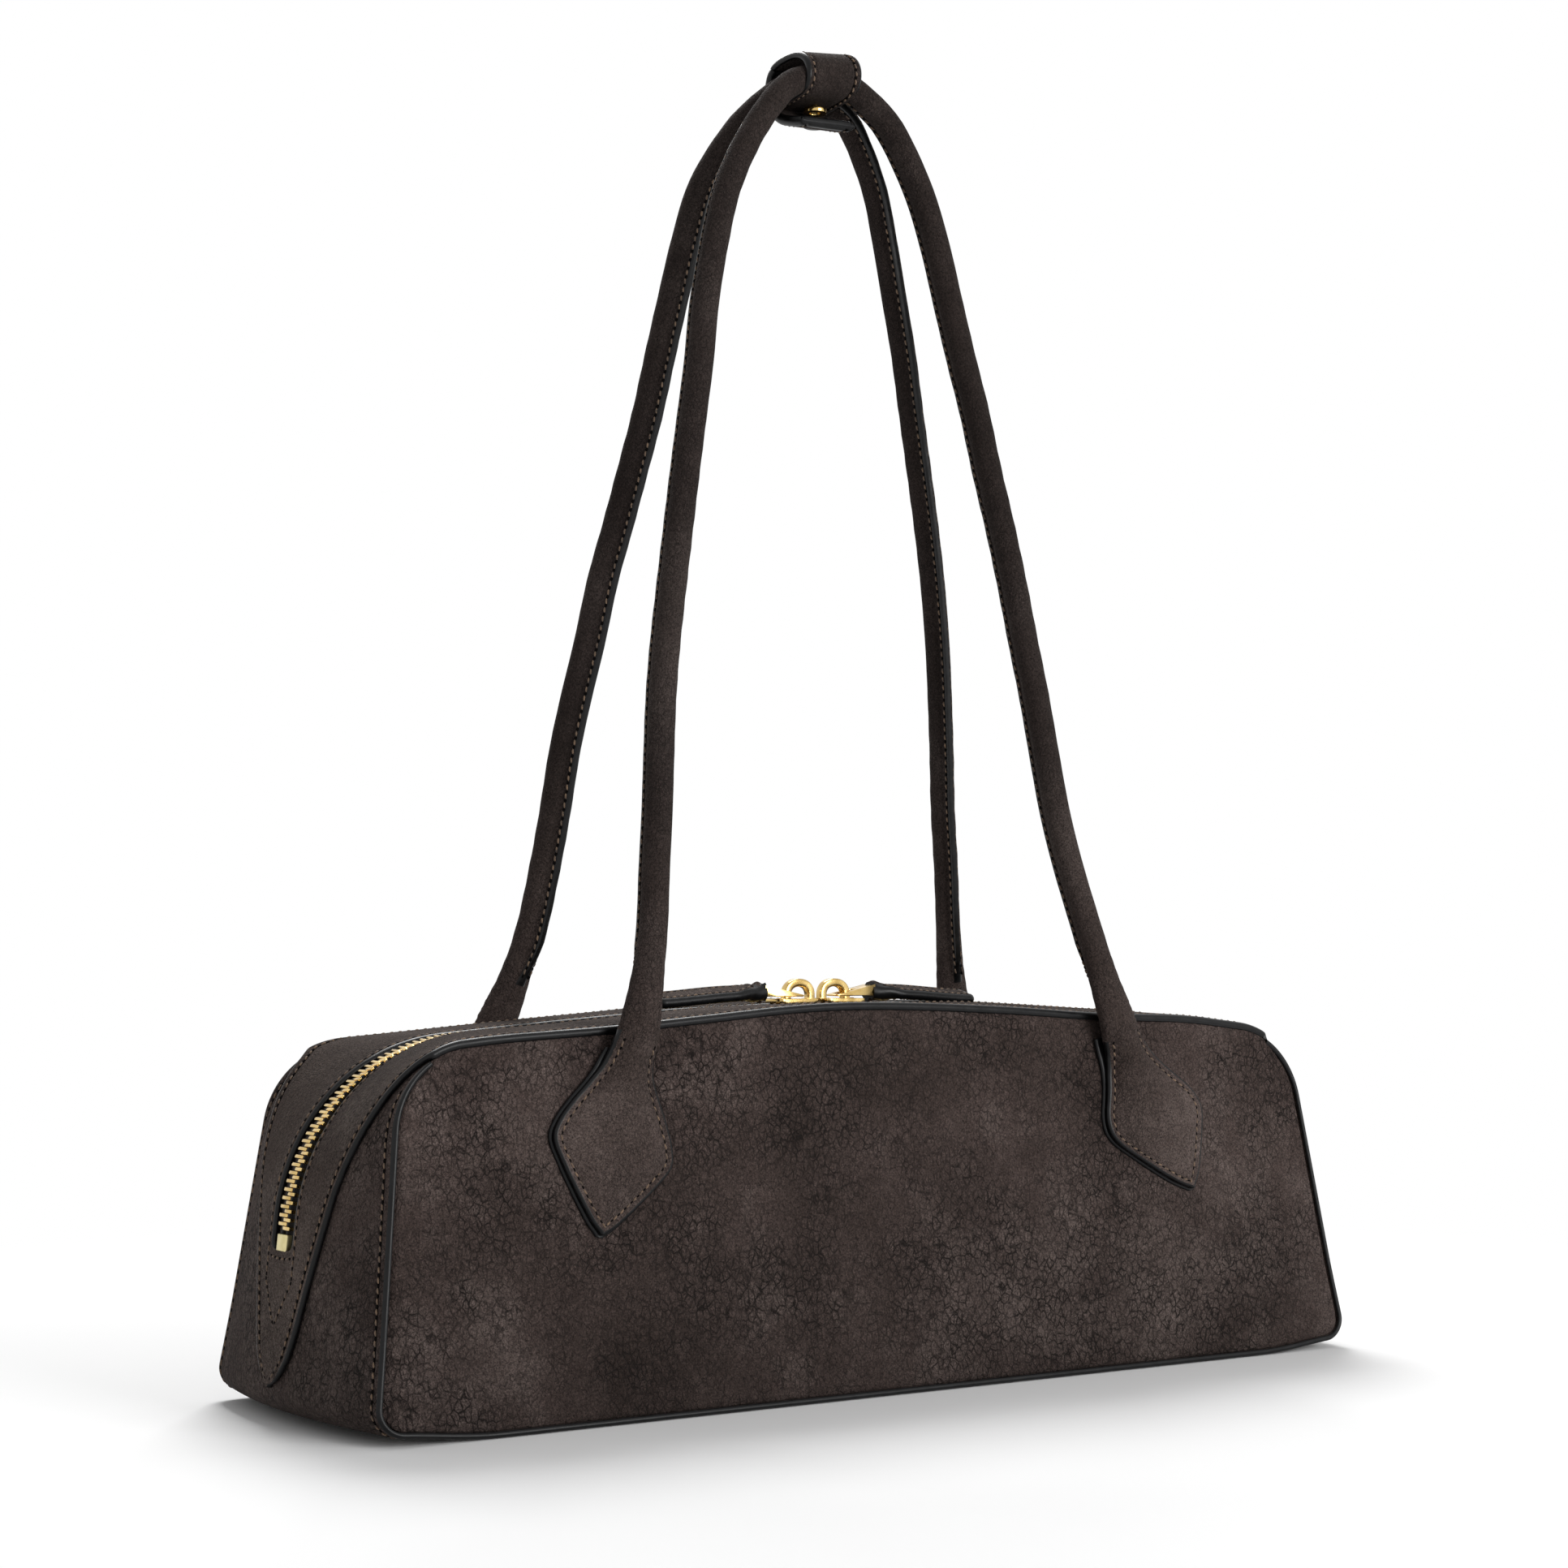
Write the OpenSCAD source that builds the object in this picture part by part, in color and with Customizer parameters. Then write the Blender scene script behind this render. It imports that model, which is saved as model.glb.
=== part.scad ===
// Baguette bag: a long, low leather bag with a zip over its top, two zip sliders that meet in
// the middle, two rolled handles on kite-shaped tabs, and a snapped keeper round both handles.
// Millimetres. +Z up, +X along the bag, the front faces -Y, the origin is the middle of the base.

/* [Body] */
// Length of the front edge at the base
base_length = 381; // [340:1:420]
// How much further in each end lies at the top than at the base, along the front edge
end_rake = 13.6; // [8:0.2:20]
// How far the middle of each end swells beyond its edges
end_bulge = 6.7; // [2:0.1:9]
// Depth at the base, front to back
base_depth = 113.2; // [100:0.5:125]
// Depth at the height of the top corners
top_depth = 84.4; // [74:0.5:90]
// Height at which the top depth and the end rake are taken
corner_height = 112; // [104:0.5:118]
// Height of the front and back edges at the middle of the bag, under the top strip
edge_height = 120.9; // [114:0.1:126]
// How much higher the zip line lies than the front and back edges
top_dome = 0.8; // [0.2:0.1:1.6]
// Radius of the crown that the top follows along the bag
crown_radius = 1400; // [1200:10:1800]
// Radius of the top corners along the front and back edges
edge_corner_radius = 27; // [20:0.5:34]
// Radius of the top corners along the zip line
mid_corner_radius = 62; // [54:0.5:68]
// Radius of the bottom corners
foot_radius = 8; // [5:0.5:12]

/* [Leather] */
// Thickness of the gusset, which is the two ends and the bottom in one
gusset_thickness = 1.8; // [1.4:0.1:2.2]
// Thickness of the front and back panels with their stiffener
panel_thickness = 2.2; // [1.6:0.1:2.8]
// Thickness of the leather strip that carries the zip
strip_thickness = 1.8; // [1.4:0.1:2.2]
// Thickness of the lining cloth
lining_thickness = 0.6; // [0.4:0.1:0.9]
// Thickness of the board in the bottom
board_thickness = 2; // [1.4:0.1:2.4]
// How far the board stops short of the bottom corners
board_margin = 3; // [2:0.5:8]
// Clearance between layers that lie on one another
layer_gap = 0.2; // [0.15:0.05:0.3]
// Clearance at the ends of the two strip halves that open
flap_gap = 0.5; // [0.3:0.1:1]

/* [Zip] */
// Half the width of the slot that the zip lies in
slot_half = 6.5; // [6.3:0.1:7.5]
// Height of the lower end of the slot on each end of the bag
slot_foot_height = 49.5; // [40:0.5:52]
// Half the length of the stretch of the top that opens
mouth_half = 118; // [100:1:124]
// Pitch of the teeth in one row
tooth_pitch = 2.5; // [2.4:0.05:3]
// Length of one tooth along the zip
tooth_length = 1; // [0.8:0.05:1.1]
// Thickness of the teeth through the zip
tooth_thickness = 2.6; // [2.2:0.1:2.8]
// How far each tooth reaches over the middle line
tooth_reach = 0.9; // [0.6:0.05:1.2]
// Half the width of the whole chain
chain_half = 3.3; // [3:0.1:3.4]
// Width of the bead that the teeth are clamped on
bead_width = 1; // [0.8:0.05:1.2]
// Thickness of the bead
bead_thickness = 1.8; // [1.4:0.1:2]
// Thickness of the zip tape
tape_thickness = 0.6; // [0.4:0.05:0.8]
// Half the width of the zip tape
tape_half = 12; // [10:0.5:14]
// Height of the metal stop that ends the chain
stop_height = 5; // [4:0.5:6]

/* [Sliders] */
// Length of each slider body
slider_length = 16; // [13:0.5:18]
// Half the width of each slider body
slider_half = 5.2; // [4.9:0.1:5.6]
// Thickness of the slider's two plates
plate_thickness = 1.3; // [1:0.1:1.6]
// Gap between the two sliders where they meet
slider_gap = 3.2; // [2:0.2:5]
// Width of the wedge that parts the teeth, across the zip
wedge_width = 2.8; // [2.2:0.1:3.4]
// Length of the wedge along the zip
wedge_length = 3.4; // [2.8:0.1:4.2]
// Width of the arch on the slider, along the zip
arch_width = 14; // [12.5:0.1:14.6]
// Height of the arch above the slider's top plate
arch_height = 7.2; // [6.6:0.1:8.5]
// Thickness of the arch seen from the front
arch_bar = 3.8; // [3:0.1:4]
// Depth of the arch, front to back
arch_depth = 3.2; // [2.6:0.1:3.6]
// Radius of the cross bar of the pull's link, which turns in the arch
pin_radius = 0.9; // [0.7:0.05:1.1]

/* [Pulls] */
// Length of the metal link, from its cross bar to its thick end
link_length = 14.6; // [13:0.2:18]
// Width of one arm of the link, across the zip
link_arm = 1.4; // [1:0.1:1.7]
// Thickness of the link's thick end
link_thick = 3; // [2.6:0.1:3.4]
// Length of the leather pull
pull_length = 43; // [34:0.5:52]
// Width of the leather pull
pull_width = 11.5; // [10:0.1:11.8]
// Thickness of the leather pull, two layers
pull_thickness = 2.6; // [2.2:0.1:3]
// How far the far end of the leather pull lies below its neck
pull_fall = 1.6; // [0.8:0.1:1.8]

/* [Handles] */
// Height of the middle of the handles' rods at the top of the arch
handle_top = 440; // [400:1:470]
// Height of the turning line at the foot of each handle
handle_foot = 113.5; // [111:0.5:116]
// Half the distance between the feet of one handle
foot_half = 98; // [92:0.5:104]
// Half the distance between the two rods at the top
rod_spacing_half = 8; // [7.6:0.1:9]
// Clearance between the panel's face and the middle of a handle's foot
foot_stand = 6.2; // [6:0.1:7]
// Radius of the rolled leather rod
rod_radius = 4.6; // [4.2:0.1:4.8]
// Thickness of the rod's leather
rod_wall = 1.5; // [1.2:0.1:1.8]
// How far the stitched lip stands out of the rod
lip_reach = 2.4; // [1.6:0.1:2.6]
// Clearance round the cord inside the rod
cord_gap = 0.15; // [0.1:0.05:0.25]
// Rings between two points of the handle's curve
rings_per_span = 3; // [2:1:4]

/* [Tabs] */
// Length of each kite-shaped tab from its neck to its tip
tab_length = 57; // [48:0.5:62]
// Half the width of each tab
tab_half = 21; // [17:0.5:23]
// Angle at which the tabs lean, in degrees
tab_lean = 18.5; // [12:0.5:22]
// Thickness of the upper leather of a tab
tab_thickness = 1.8; // [1.4:0.1:2]
// Thickness of the backing leather of a tab
backing_thickness = 1.4; // [1:0.1:1.6]
// How far the backing leather stands out round the tab
backing_margin = 0.8; // [0.4:0.1:1.2]
// Clearance between a tab's neck and the round foot of the handle
neck_gap = 0.4; // [0.3:0.1:0.8]

/* [Keeper] */
// Width of the keeper band along the rods
keeper_width = 20; // [16:0.5:24]
// Thickness of the keeper's leather
keeper_thickness = 2.2; // [1.8:0.1:2.4]
// Clearance between the keeper and the rods
keeper_gap = 0.5; // [0.4:0.1:0.8]
// How much deeper the keeper is than the rods, because the rods arch down to each side
keeper_drop = 3.8; // [3.6:0.1:4.4]
// Gap between the keeper's two layers, where the snap lies
snap_gap = 2.6; // [2.4:0.1:3]
// Radius of the snap's flanges
snap_radius = 4; // [3.4:0.1:4.6]
// Radius of the snap's stud
stud_radius = 1.9; // [1.6:0.1:2.2]
// Radial clearance of the stud in its socket
stud_clearance = 0.1; // [0.06:0.01:0.15]
// Thickness of the snap's flanges
snap_flange = 0.5; // [0.4:0.05:0.6]
// Radius of the posts that rivet the snap through the leather
post_radius = 1.1; // [0.9:0.05:1.3]

/* [Hidden] */
$fn = 48;
overrun = 1;
arc_fn = 1440;
corner_fn = 96;

leather = "#4a423c";
edge_paint = "#1d1c1e";
gold = "#d9b25a";
cloth = "#191819";
lining_cloth = "#7d7268";
board_grey = "#8d8a84";
rope_white = "#cfc8ba";

// The shape of the bag's skin. A station runs from 0 at the middle of the top to 1 where the
// crown ends, 2 where the top corner ends, 3 where the bottom corner starts and 4 where it ends
// on the ground. Negative stations are the left half.

end_tilt = atan(end_rake / corner_height);
mid_tilt = end_tilt - atan(end_bulge / corner_height) / 3;
side_lean = atan((base_depth - top_depth) / 2 / corner_height);
edge_foot = base_length / 2;
mid_foot = edge_foot + end_bulge;
mid_top = edge_height + top_dome;

function half_depth(z) = base_depth / 2 - z * tan(side_lean);

// One profile: the height of its top, the radius of its corner, where its side meets the ground
// and how far that side tilts.
edge_profile = [edge_height, edge_corner_radius, edge_foot, end_tilt];
mid_profile = [mid_top, mid_corner_radius, mid_foot, mid_tilt];

function crown_centre(p) = p[0] - crown_radius;
function crown_end(p) = asin((p[2] * cos(p[3]) - p[1] - crown_centre(p) * sin(p[3]))
  / (crown_radius - p[1])) - p[3];
function corner_centre(p) = [(crown_radius - p[1]) * sin(crown_end(p)),
  crown_centre(p) + (crown_radius - p[1]) * cos(crown_end(p))];
function foot_centre(p) = [(p[2] * cos(p[3]) - foot_radius * (1 + sin(p[3]))) / cos(p[3]), foot_radius];
function on_arc(centre, radius, a) = centre + radius * [sin(a), cos(a)];
function mix(a, b, t) = a + (b - a) * t;

// The angle of a profile's outward normal from upright, at a station from 0 to 4.
function lean_at(p, s) = s <= 1 ? crown_end(p) * s
  : s <= 2 ? mix(crown_end(p), 90 - p[3], s - 1)
  : s <= 3 ? 90 - p[3]
  : mix(90 - p[3], 180, s - 3);

// The point [x, z] of a profile at a station from 0 to 4.
function profile_point(p, s) = s <= 1 ? on_arc([0, crown_centre(p)], crown_radius, lean_at(p, s))
  : s <= 2 ? on_arc(corner_centre(p), p[1], lean_at(p, s))
  : s <= 3 ? mix(on_arc(corner_centre(p), p[1], 90 - p[3]),
      on_arc(foot_centre(p), foot_radius, 90 - p[3]), s - 2)
  : on_arc(foot_centre(p), foot_radius, lean_at(p, s));

// A point of the skin at a station, a share of the half depth from -1 to 1, and a height above it.
function skin_point(station, across, rise) =
  let (s = abs(station), side = station < 0 ? -1 : 1, k = across * across,
    e = profile_point(edge_profile, s), m = profile_point(mid_profile, s),
    a = mix(lean_at(mid_profile, s), lean_at(edge_profile, s), k), q = mix(m, e, k))
  [side * (q[0] + rise * sin(a)), across * half_depth(e[1]), q[1] + rise * cos(a)];

function steps(from, to, count) = [for (i = [0 : count]) mix(from, to, i / count)];

// A closed solid between two grids of points, outer and inner.
module sheet_solid(outer, inner) {
  rows = len(outer);
  cols = len(outer[0]);
  size = rows * cols;
  points = concat([for (r = outer) for (p = r) p], [for (r = inner) for (p = r) p]);
  top = [for (r = [0 : rows - 2]) for (c = [0 : cols - 2]) let (i = r * cols + c)
    each [[i, i + 1, i + cols], [i + 1, i + cols + 1, i + cols]]];
  bottom = [for (f = top) [f[0] + size, f[2] + size, f[1] + size]];
  starts = [for (c = [0 : cols - 2]) each [[c, c + size, c + 1], [c + 1, c + size, c + 1 + size]]];
  last = (rows - 1) * cols;
  ends = [for (f = starts) [f[0] + last, f[2] + last, f[1] + last]];
  near = [for (r = [0 : rows - 2]) let (i = r * cols)
    each [[i, i + cols, i + size], [i + cols, i + cols + size, i + size]]];
  far = [for (f = near) [f[0] + cols - 1, f[2] + cols - 1, f[1] + cols - 1]];
  polyhedron(points, concat(top, bottom, starts, ends, near, far));
}

module skin_sheet(stations, shares, low, high) {
  sheet_solid([for (s = stations) [for (a = shares) skin_point(s, a, high)]],
    [for (s = stations) [for (a = shares) skin_point(s, a, low)]]);
}

// Panels: flat plates that lean in with the front and back planes.

panel_inset = gusset_thickness + layer_gap * 2;
panel_stations = concat(steps(0, 1, 8), steps(1.15, 2, 6), [3], steps(3.25, 4, 3));
panel_half_outline = [for (s = panel_stations)
  profile_point(edge_profile, s) - panel_inset * [sin(lean_at(edge_profile, s)), cos(lean_at(edge_profile, s))]];
panel_outline = concat(panel_half_outline,
  [for (i = [len(panel_half_outline) - 1 : -1 : 1]) [-panel_half_outline[i][0], panel_half_outline[i][1]]]);

// Places things on the front plane: x along the bag, y up the plane, z outward.
module on_front_plane() {
  translate([0, -base_depth / 2, 0]) rotate([90 - side_lean, 0, 0]) children();
}

function up_plane(z) = z / cos(side_lean);

module panel() {
  rise = (panel_thickness / 2 + layer_gap) * tan(side_lean);
  on_front_plane() translate([0, rise, -panel_thickness - layer_gap]) linear_extrude(panel_thickness)
    polygon([for (p = panel_outline) [p[0], up_plane(p[1])]]);
}

module front_panel() {
  color(leather) panel();
}

module back_panel() {
  color(leather) rotate([0, 0, 180]) panel();
}

// Gusset: both ends and the bottom in one piece, open where the zip's tape lies under the strip.

gusset_start = 1.3;
tape_share = tape_half / half_depth(edge_height);
tape_slot_half = tape_share * half_depth(slot_foot_height) + layer_gap * 2;
tape_slot_foot = slot_foot_height - tape_half + slot_half;

// Cuts away what lies within a half width of the zip line above a round lower end, on the right.
module slot_cutter(half, foot) {
  reach = mid_foot + overrun;
  translate([mid_corner_radius, -half, foot + half]) cube([reach, half * 2, edge_height]);
  translate([mid_corner_radius, 0, foot + half]) rotate([0, 90, 0]) cylinder(r = half, h = reach);
}

module both_sides() {
  children();
  mirror([1, 0, 0]) children();
}

module gusset() {
  right = concat(steps(gusset_start, 2, 7), steps(2.25, 3, 4), steps(3.2, 4, 4));
  left = [for (i = [len(right) - 1 : -1 : 0]) -right[i]];
  color(leather) difference() {
    skin_sheet(concat(right, left), steps(-1, 1, 10), -gusset_thickness, 0);
    both_sides() slot_cutter(tape_slot_half, tape_slot_foot - slot_half);
  }
}

// Board in the bottom, under the lining.

board_z = gusset_thickness + layer_gap;
board_half_length = foot_centre(edge_profile)[0] - board_margin;
board_half_depth = half_depth(board_z) - panel_thickness - layer_gap * 2 - board_margin;

module base_board() {
  color(board_grey) translate([-board_half_length, -board_half_depth, board_z])
    cube([board_half_length * 2, board_half_depth * 2, board_thickness]);
}

// Lining: one band round the ends and bottom and a sheet behind each panel, as separate cloths.

lining_depth = gusset_thickness + board_thickness + layer_gap * 2;
lining_share = 0.9;

module lining_wall() {
  inset = lining_depth + lining_thickness + layer_gap;
  stations = concat(steps(1.5, 2, 3), [3], steps(3.25, 4, 3));
  half = [for (s = stations) profile_point(edge_profile, s)
    - inset * [sin(lean_at(edge_profile, s)), cos(lean_at(edge_profile, s))]];
  outline = concat(half, [for (i = [len(half) - 1 : -1 : 0]) [-half[i][0], half[i][1]]]);
  behind = panel_thickness + layer_gap * 2 + lining_thickness;
  on_front_plane() translate([0, behind * tan(side_lean), -behind])
    linear_extrude(lining_thickness) polygon([for (p = outline) [p[0], up_plane(p[1])]]);
}

module lining_band() {
  right = concat(steps(1.5, 2, 5), steps(2.5, 3, 1), steps(3.2, 4, 4));
  left = [for (i = [len(right) - 1 : -1 : 0]) -right[i]];
  difference() {
    skin_sheet(concat(right, left), steps(-lining_share, lining_share, 8),
      -lining_depth - lining_thickness, -lining_depth);
    both_sides() slot_cutter(tape_slot_half, tape_slot_foot - slot_half);
  }
}

module lining() {
  color(lining_cloth) {
    lining_band();
    lining_wall();
    rotate([0, 0, 180]) lining_wall();
  }
}

// Top strip. Its two ends wrap the top corners and run down the ends as tapered tails. Between
// them a front half and a back half can open.

mid_crown_half = profile_point(mid_profile, 1)[0];
mouth_station = mouth_half / mid_crown_half;
outer_station = mouth_half / profile_point(edge_profile, 1)[0];

// Keeps what lies beside the mouth's ends, on the right, or what lies between them.
module beyond_mouth() {
  intersection() {
    children();
    translate([mouth_half + flap_gap / 2, -base_depth, 0]) cube([base_length, base_depth * 2, base_length]);
  }
}

module within_mouth() {
  length = mouth_half * 2 - flap_gap;
  intersection() {
    children();
    translate([-length / 2, -base_depth, 0]) cube([length, base_depth * 2, base_length]);
  }
}

// Half widths of the tail as shares of the top depth, and heights as shares of the corner height.
tail_shares = [[0.16, 0.115], [0.27, 0.16], [0.3, 0.21], [0.34, 0.27], [0.46, 0.39], [0.68, 0.58],
  [0.85, 0.76], [0.94, 0.87], [1.04, 0.93], [1.3, 0.97]];
tail_tip_share = 0.08;

module tail_outline() {
  side = [for (p = tail_shares) [p[0] * top_depth / 2, p[1] * corner_height]];
  crest = [base_depth, edge_height + strip_thickness * 3];
  outline = concat([[0, tail_tip_share * corner_height]], side, [crest],
    [[-crest[0], crest[1]]], [for (i = [len(side) - 1 : -1 : 0]) [-side[i][0], side[i][1]]]);
  rotate([90, 0, 90]) linear_extrude(mid_foot + strip_thickness * 3) polygon(outline);
}

module strip_end() {
  stations = concat(steps(outer_station * 0.98, 1, 4), steps(1.1, 2, 9), steps(2.25, 3, 3));
  difference() {
    intersection() {
      beyond_mouth() skin_sheet(stations, steps(-1, 1, 12), layer_gap, layer_gap + strip_thickness);
      tail_outline();
    }
    slot_cutter(slot_half, slot_foot_height - slot_half);
  }
}

module right_strip_end() {
  color(leather) strip_end();
}

module left_strip_end() {
  color(leather) mirror([1, 0, 0]) strip_end();
}

slot_share = slot_half / half_depth(edge_height);
flap_shares = steps(-1, -slot_share, 4);

module strip_half() {
  within_mouth() skin_sheet(steps(-mouth_station, mouth_station, 20), flap_shares,
    layer_gap, layer_gap + strip_thickness);
}

module front_strip() {
  color(leather) strip_half();
}

module back_strip() {
  color(leather) rotate([0, 0, 180]) strip_half();
}

// Zip. Its chain runs along the middle profile, under the strip.

chain_drop = tape_thickness / 2;
chain_radius = crown_radius - chain_drop;
crown_origin = crown_centre(mid_profile);
corner_origin = corner_centre(mid_profile);
corner_from = crown_end(mid_profile);
corner_to = 90 - mid_tilt;
corner_run = (mid_corner_radius - chain_drop) * (corner_to - corner_from) * PI / 180;
crown_tail = chain_radius * (corner_from - asin(mouth_half / crown_radius)) * PI / 180;
side_start = on_arc(corner_origin, mid_corner_radius - chain_drop, corner_to);
side_run = (side_start[1] - slot_foot_height - stop_height - layer_gap * 2) / cos(mid_tilt);
bead_share = (chain_half + layer_gap / 2) / half_depth(edge_height);

// Puts its children at a run along the chain from the end of the mouth, on the right: x along
// the chain, y across it and z outward.
module at_end_run(run) {
  if (run <= crown_tail) translate([0, 0, crown_origin])
    rotate([0, asin(mouth_half / crown_radius) + run / chain_radius * 180 / PI, 0])
      translate([0, 0, chain_radius]) children();
  else if (run <= crown_tail + corner_run) translate([corner_origin[0], 0, corner_origin[1]])
    rotate([0, corner_from + (run - crown_tail) / (mid_corner_radius - chain_drop) * 180 / PI, 0])
      translate([0, 0, mid_corner_radius - chain_drop]) children();
  else translate([side_start[0], 0, side_start[1]]) rotate([0, corner_to, 0])
    translate([run - crown_tail - corner_run, 0, 0]) children();
}

// One tooth of the front row, at the origin of its own frame.
module tooth() {
  translate([-tooth_length / 2, -chain_half, -tooth_thickness / 2])
    cube([tooth_length, chain_half + tooth_reach, tooth_thickness]);
}

module bead_section(radius, trim) {
  translate([radius - bead_thickness / 2 + trim, trim - chain_half])
    square([bead_thickness - trim * 2, bead_width - trim * 2]);
}

// An arc of the bead about the Y axis, from one angle from upright to another.
module bead_arc(radius, from, to, fn, trim) {
  rotate([90, 0, 0]) rotate([0, 0, 90 - to])
    rotate_extrude(angle = to - from, $fn = fn) mirror([0, 1]) bead_section(radius, trim);
}

// The first teeth of the fixed chain leave room for the wedge of a slider that is fully out.
end_teeth_start = wedge_length + tooth_length * 2;
end_teeth = floor((crown_tail + corner_run + side_run - end_teeth_start) / tooth_pitch);

module end_row(shift) {
  bead_trim = layer_gap / chain_radius * 180 / PI;
  overlap = layer_gap / mid_corner_radius * 180 / PI;
  trim = layer_gap / 8;
  union() {
    translate([0, 0, crown_origin])
      bead_arc(chain_radius, asin(mouth_half / crown_radius) + bead_trim, corner_from, arc_fn, 0);
    translate([corner_origin[0], 0, corner_origin[1]])
      bead_arc(mid_corner_radius - chain_drop, corner_from - overlap, corner_to, corner_fn, trim);
    translate([side_start[0], 0, side_start[1]]) rotate([0, corner_to, 0])
      translate([-layer_gap, trim * 2 - chain_half, trim * 2 - bead_thickness / 2])
        cube([side_run + layer_gap, bead_width - trim * 4, bead_thickness - trim * 4]);
    for (i = [0 : end_teeth - 1]) at_end_run((i + shift) * tooth_pitch + end_teeth_start) tooth();
  }
}

module end_teeth_pair() {
  end_row(0);
  mirror([0, 1, 0]) end_row(0.5);
}

module right_zip_teeth() {
  color(gold) end_teeth_pair();
}

module left_zip_teeth() {
  color(gold) mirror([1, 0, 0]) end_teeth_pair();
}

wedge_reach = slider_gap / 2 + wedge_length + tooth_length;
row_teeth = floor((mouth_half - wedge_reach - tooth_length) / tooth_pitch);

// One row of teeth on a strip half. The middle has none, because both sliders' wedges lie there.
module mouth_row(shift) {
  half_angle = asin(mouth_half / crown_radius) - layer_gap / chain_radius * 180 / PI;
  translate([0, 0, crown_origin]) union() {
    bead_arc(chain_radius, -half_angle, half_angle, arc_fn, 0);
    for (side = [-1, 1], i = [0 : row_teeth - 1])
      rotate([0, side * (wedge_reach + (i + shift) * tooth_pitch) / chain_radius * 180 / PI, 0])
        translate([0, 0, chain_radius]) tooth();
  }
}

module front_zip_teeth() {
  color(gold) mouth_row(0);
}

module back_zip_teeth() {
  color(gold) mirror([0, 1, 0]) mouth_row(0.5);
}

module end_tape() {
  stations = concat(steps(outer_station * 0.98, 1, 4), steps(1.1, 2, 9), [2 + side_run / (side_start[1])]);
  beyond_mouth() skin_sheet(stations, steps(-tape_share, -bead_share, 1), -tape_thickness, 0);
}

module end_tape_pair() {
  end_tape();
  mirror([0, 1, 0]) end_tape();
}

module right_zip_tape() {
  color(cloth) end_tape_pair();
}

module left_zip_tape() {
  color(cloth) mirror([1, 0, 0]) end_tape_pair();
}

module mouth_tape() {
  within_mouth() skin_sheet(steps(-mouth_station, mouth_station, 20),
    steps(-tape_share, -bead_share, 1), -tape_thickness, 0);
}

module front_zip_tape() {
  color(cloth) mouth_tape();
}

module back_zip_tape() {
  color(cloth) rotate([0, 0, 180]) mouth_tape();
}

// The metal stop below the last tooth.
module end_stop() {
  at_end_run(crown_tail + corner_run + side_run + layer_gap)
    translate([0, -chain_half, -tooth_thickness / 2])
      cube([stop_height, chain_half * 2, tooth_thickness]);
}

module right_end_stop() {
  color(gold) end_stop();
}

module left_end_stop() {
  color(gold) mirror([1, 0, 0]) end_stop();
}

// Sliders. Drawn on the right in the chain's own frame: x along the chain, z outward.

teeth_clearance = 0.35;
cavity_half_height = tooth_thickness / 2 + teeth_clearance;
cavity_half_width = chain_half + teeth_clearance;
tape_mouth = tape_thickness / 2 + teeth_clearance / 2;
slider_rest = slider_gap / 2 + slider_length / 2;
slider_angle = slider_rest / chain_radius * 180 / PI;
plate_top = cavity_half_height + plate_thickness;
arch_rest_x = arch_width / 2 + slider_gap / 4 - slider_rest;
pin_z = plate_top + (arch_height - arch_bar) / 2;

module at_slider() {
  translate([0, 0, crown_origin]) rotate([0, slider_angle, 0]) translate([0, 0, chain_radius]) children();
}

// A plate with rounded corners, seen from above.
module slider_plate() {
  corner = slider_half / 3;
  half_length = slider_length / 2;
  linear_extrude(plate_thickness) union() {
    for (x = [-1, 1], y = [-1, 1])
      translate([x * (half_length - corner), y * (slider_half - corner)]) circle(r = corner);
    square([slider_length, (slider_half - corner) * 2], center = true);
    square([slider_length - corner * 2, slider_half * 2], center = true);
  }
}

module slider_body() {
  rail = slider_half - cavity_half_width;
  rail_length = slider_length - slider_half;
  rail_height = cavity_half_height - tape_mouth;
  union() {
    translate([0, 0, cavity_half_height]) slider_plate();
    translate([0, 0, -plate_top]) slider_plate();
    for (side = [-1, 1]) for (low = [tape_mouth, -cavity_half_height])
      translate([-rail_length / 2, side > 0 ? cavity_half_width : -slider_half, low])
        cube([rail_length, rail, rail_height]);
    translate([-slider_length / 2, -wedge_width / 2, -cavity_half_height])
      cube([wedge_length, wedge_width, cavity_half_height * 2]);
  }
}

// The arch: a round-topped bow over a hole that runs from front to back.
module arch() {
  outer = arch_width / 2;
  hole_half = outer - arch_bar;
  shoulder = min(arch_height, outer) * 3 / 4;
  hole_top = arch_height - arch_bar;
  rotate([90, 0, 0]) linear_extrude(arch_depth, center = true) difference() {
    union() {
      square([arch_width, (arch_height - shoulder) * 2], center = true);
      intersection() {
        union() {
          for (side = [-1, 1])
            translate([side * (outer - shoulder), arch_height - shoulder]) circle(r = shoulder);
          translate([-(outer - shoulder), arch_height - shoulder])
            square([(outer - shoulder) * 2, shoulder]);
        }
        translate([-outer, 0]) square([arch_width, arch_height]);
      }
    }
    translate([-hole_half, 0]) square([hole_half * 2, hole_top - hole_half / 2]);
    translate([0, hole_top - hole_half / 2]) intersection() {
      square([hole_half * 2, hole_half], center = true);
      circle(r = hole_half);
    }
    translate([-outer - overrun, -arch_height * 2]) square([arch_width + overrun * 2, arch_height * 2]);
  }
}

module slider() {
  at_slider() {
    union() {
      slider_body();
      translate([arch_rest_x, 0, plate_top - layer_gap / 2]) arch();
    }
  }
}

module right_slider() {
  color(gold) slider();
}

module left_slider() {
  color(gold) mirror([1, 0, 0]) slider();
}

// Pull link: a stirrup. Its cross bar turns in the arch, its two arms straddle the arch, and
// they thicken towards the block that holds the leather.

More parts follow.
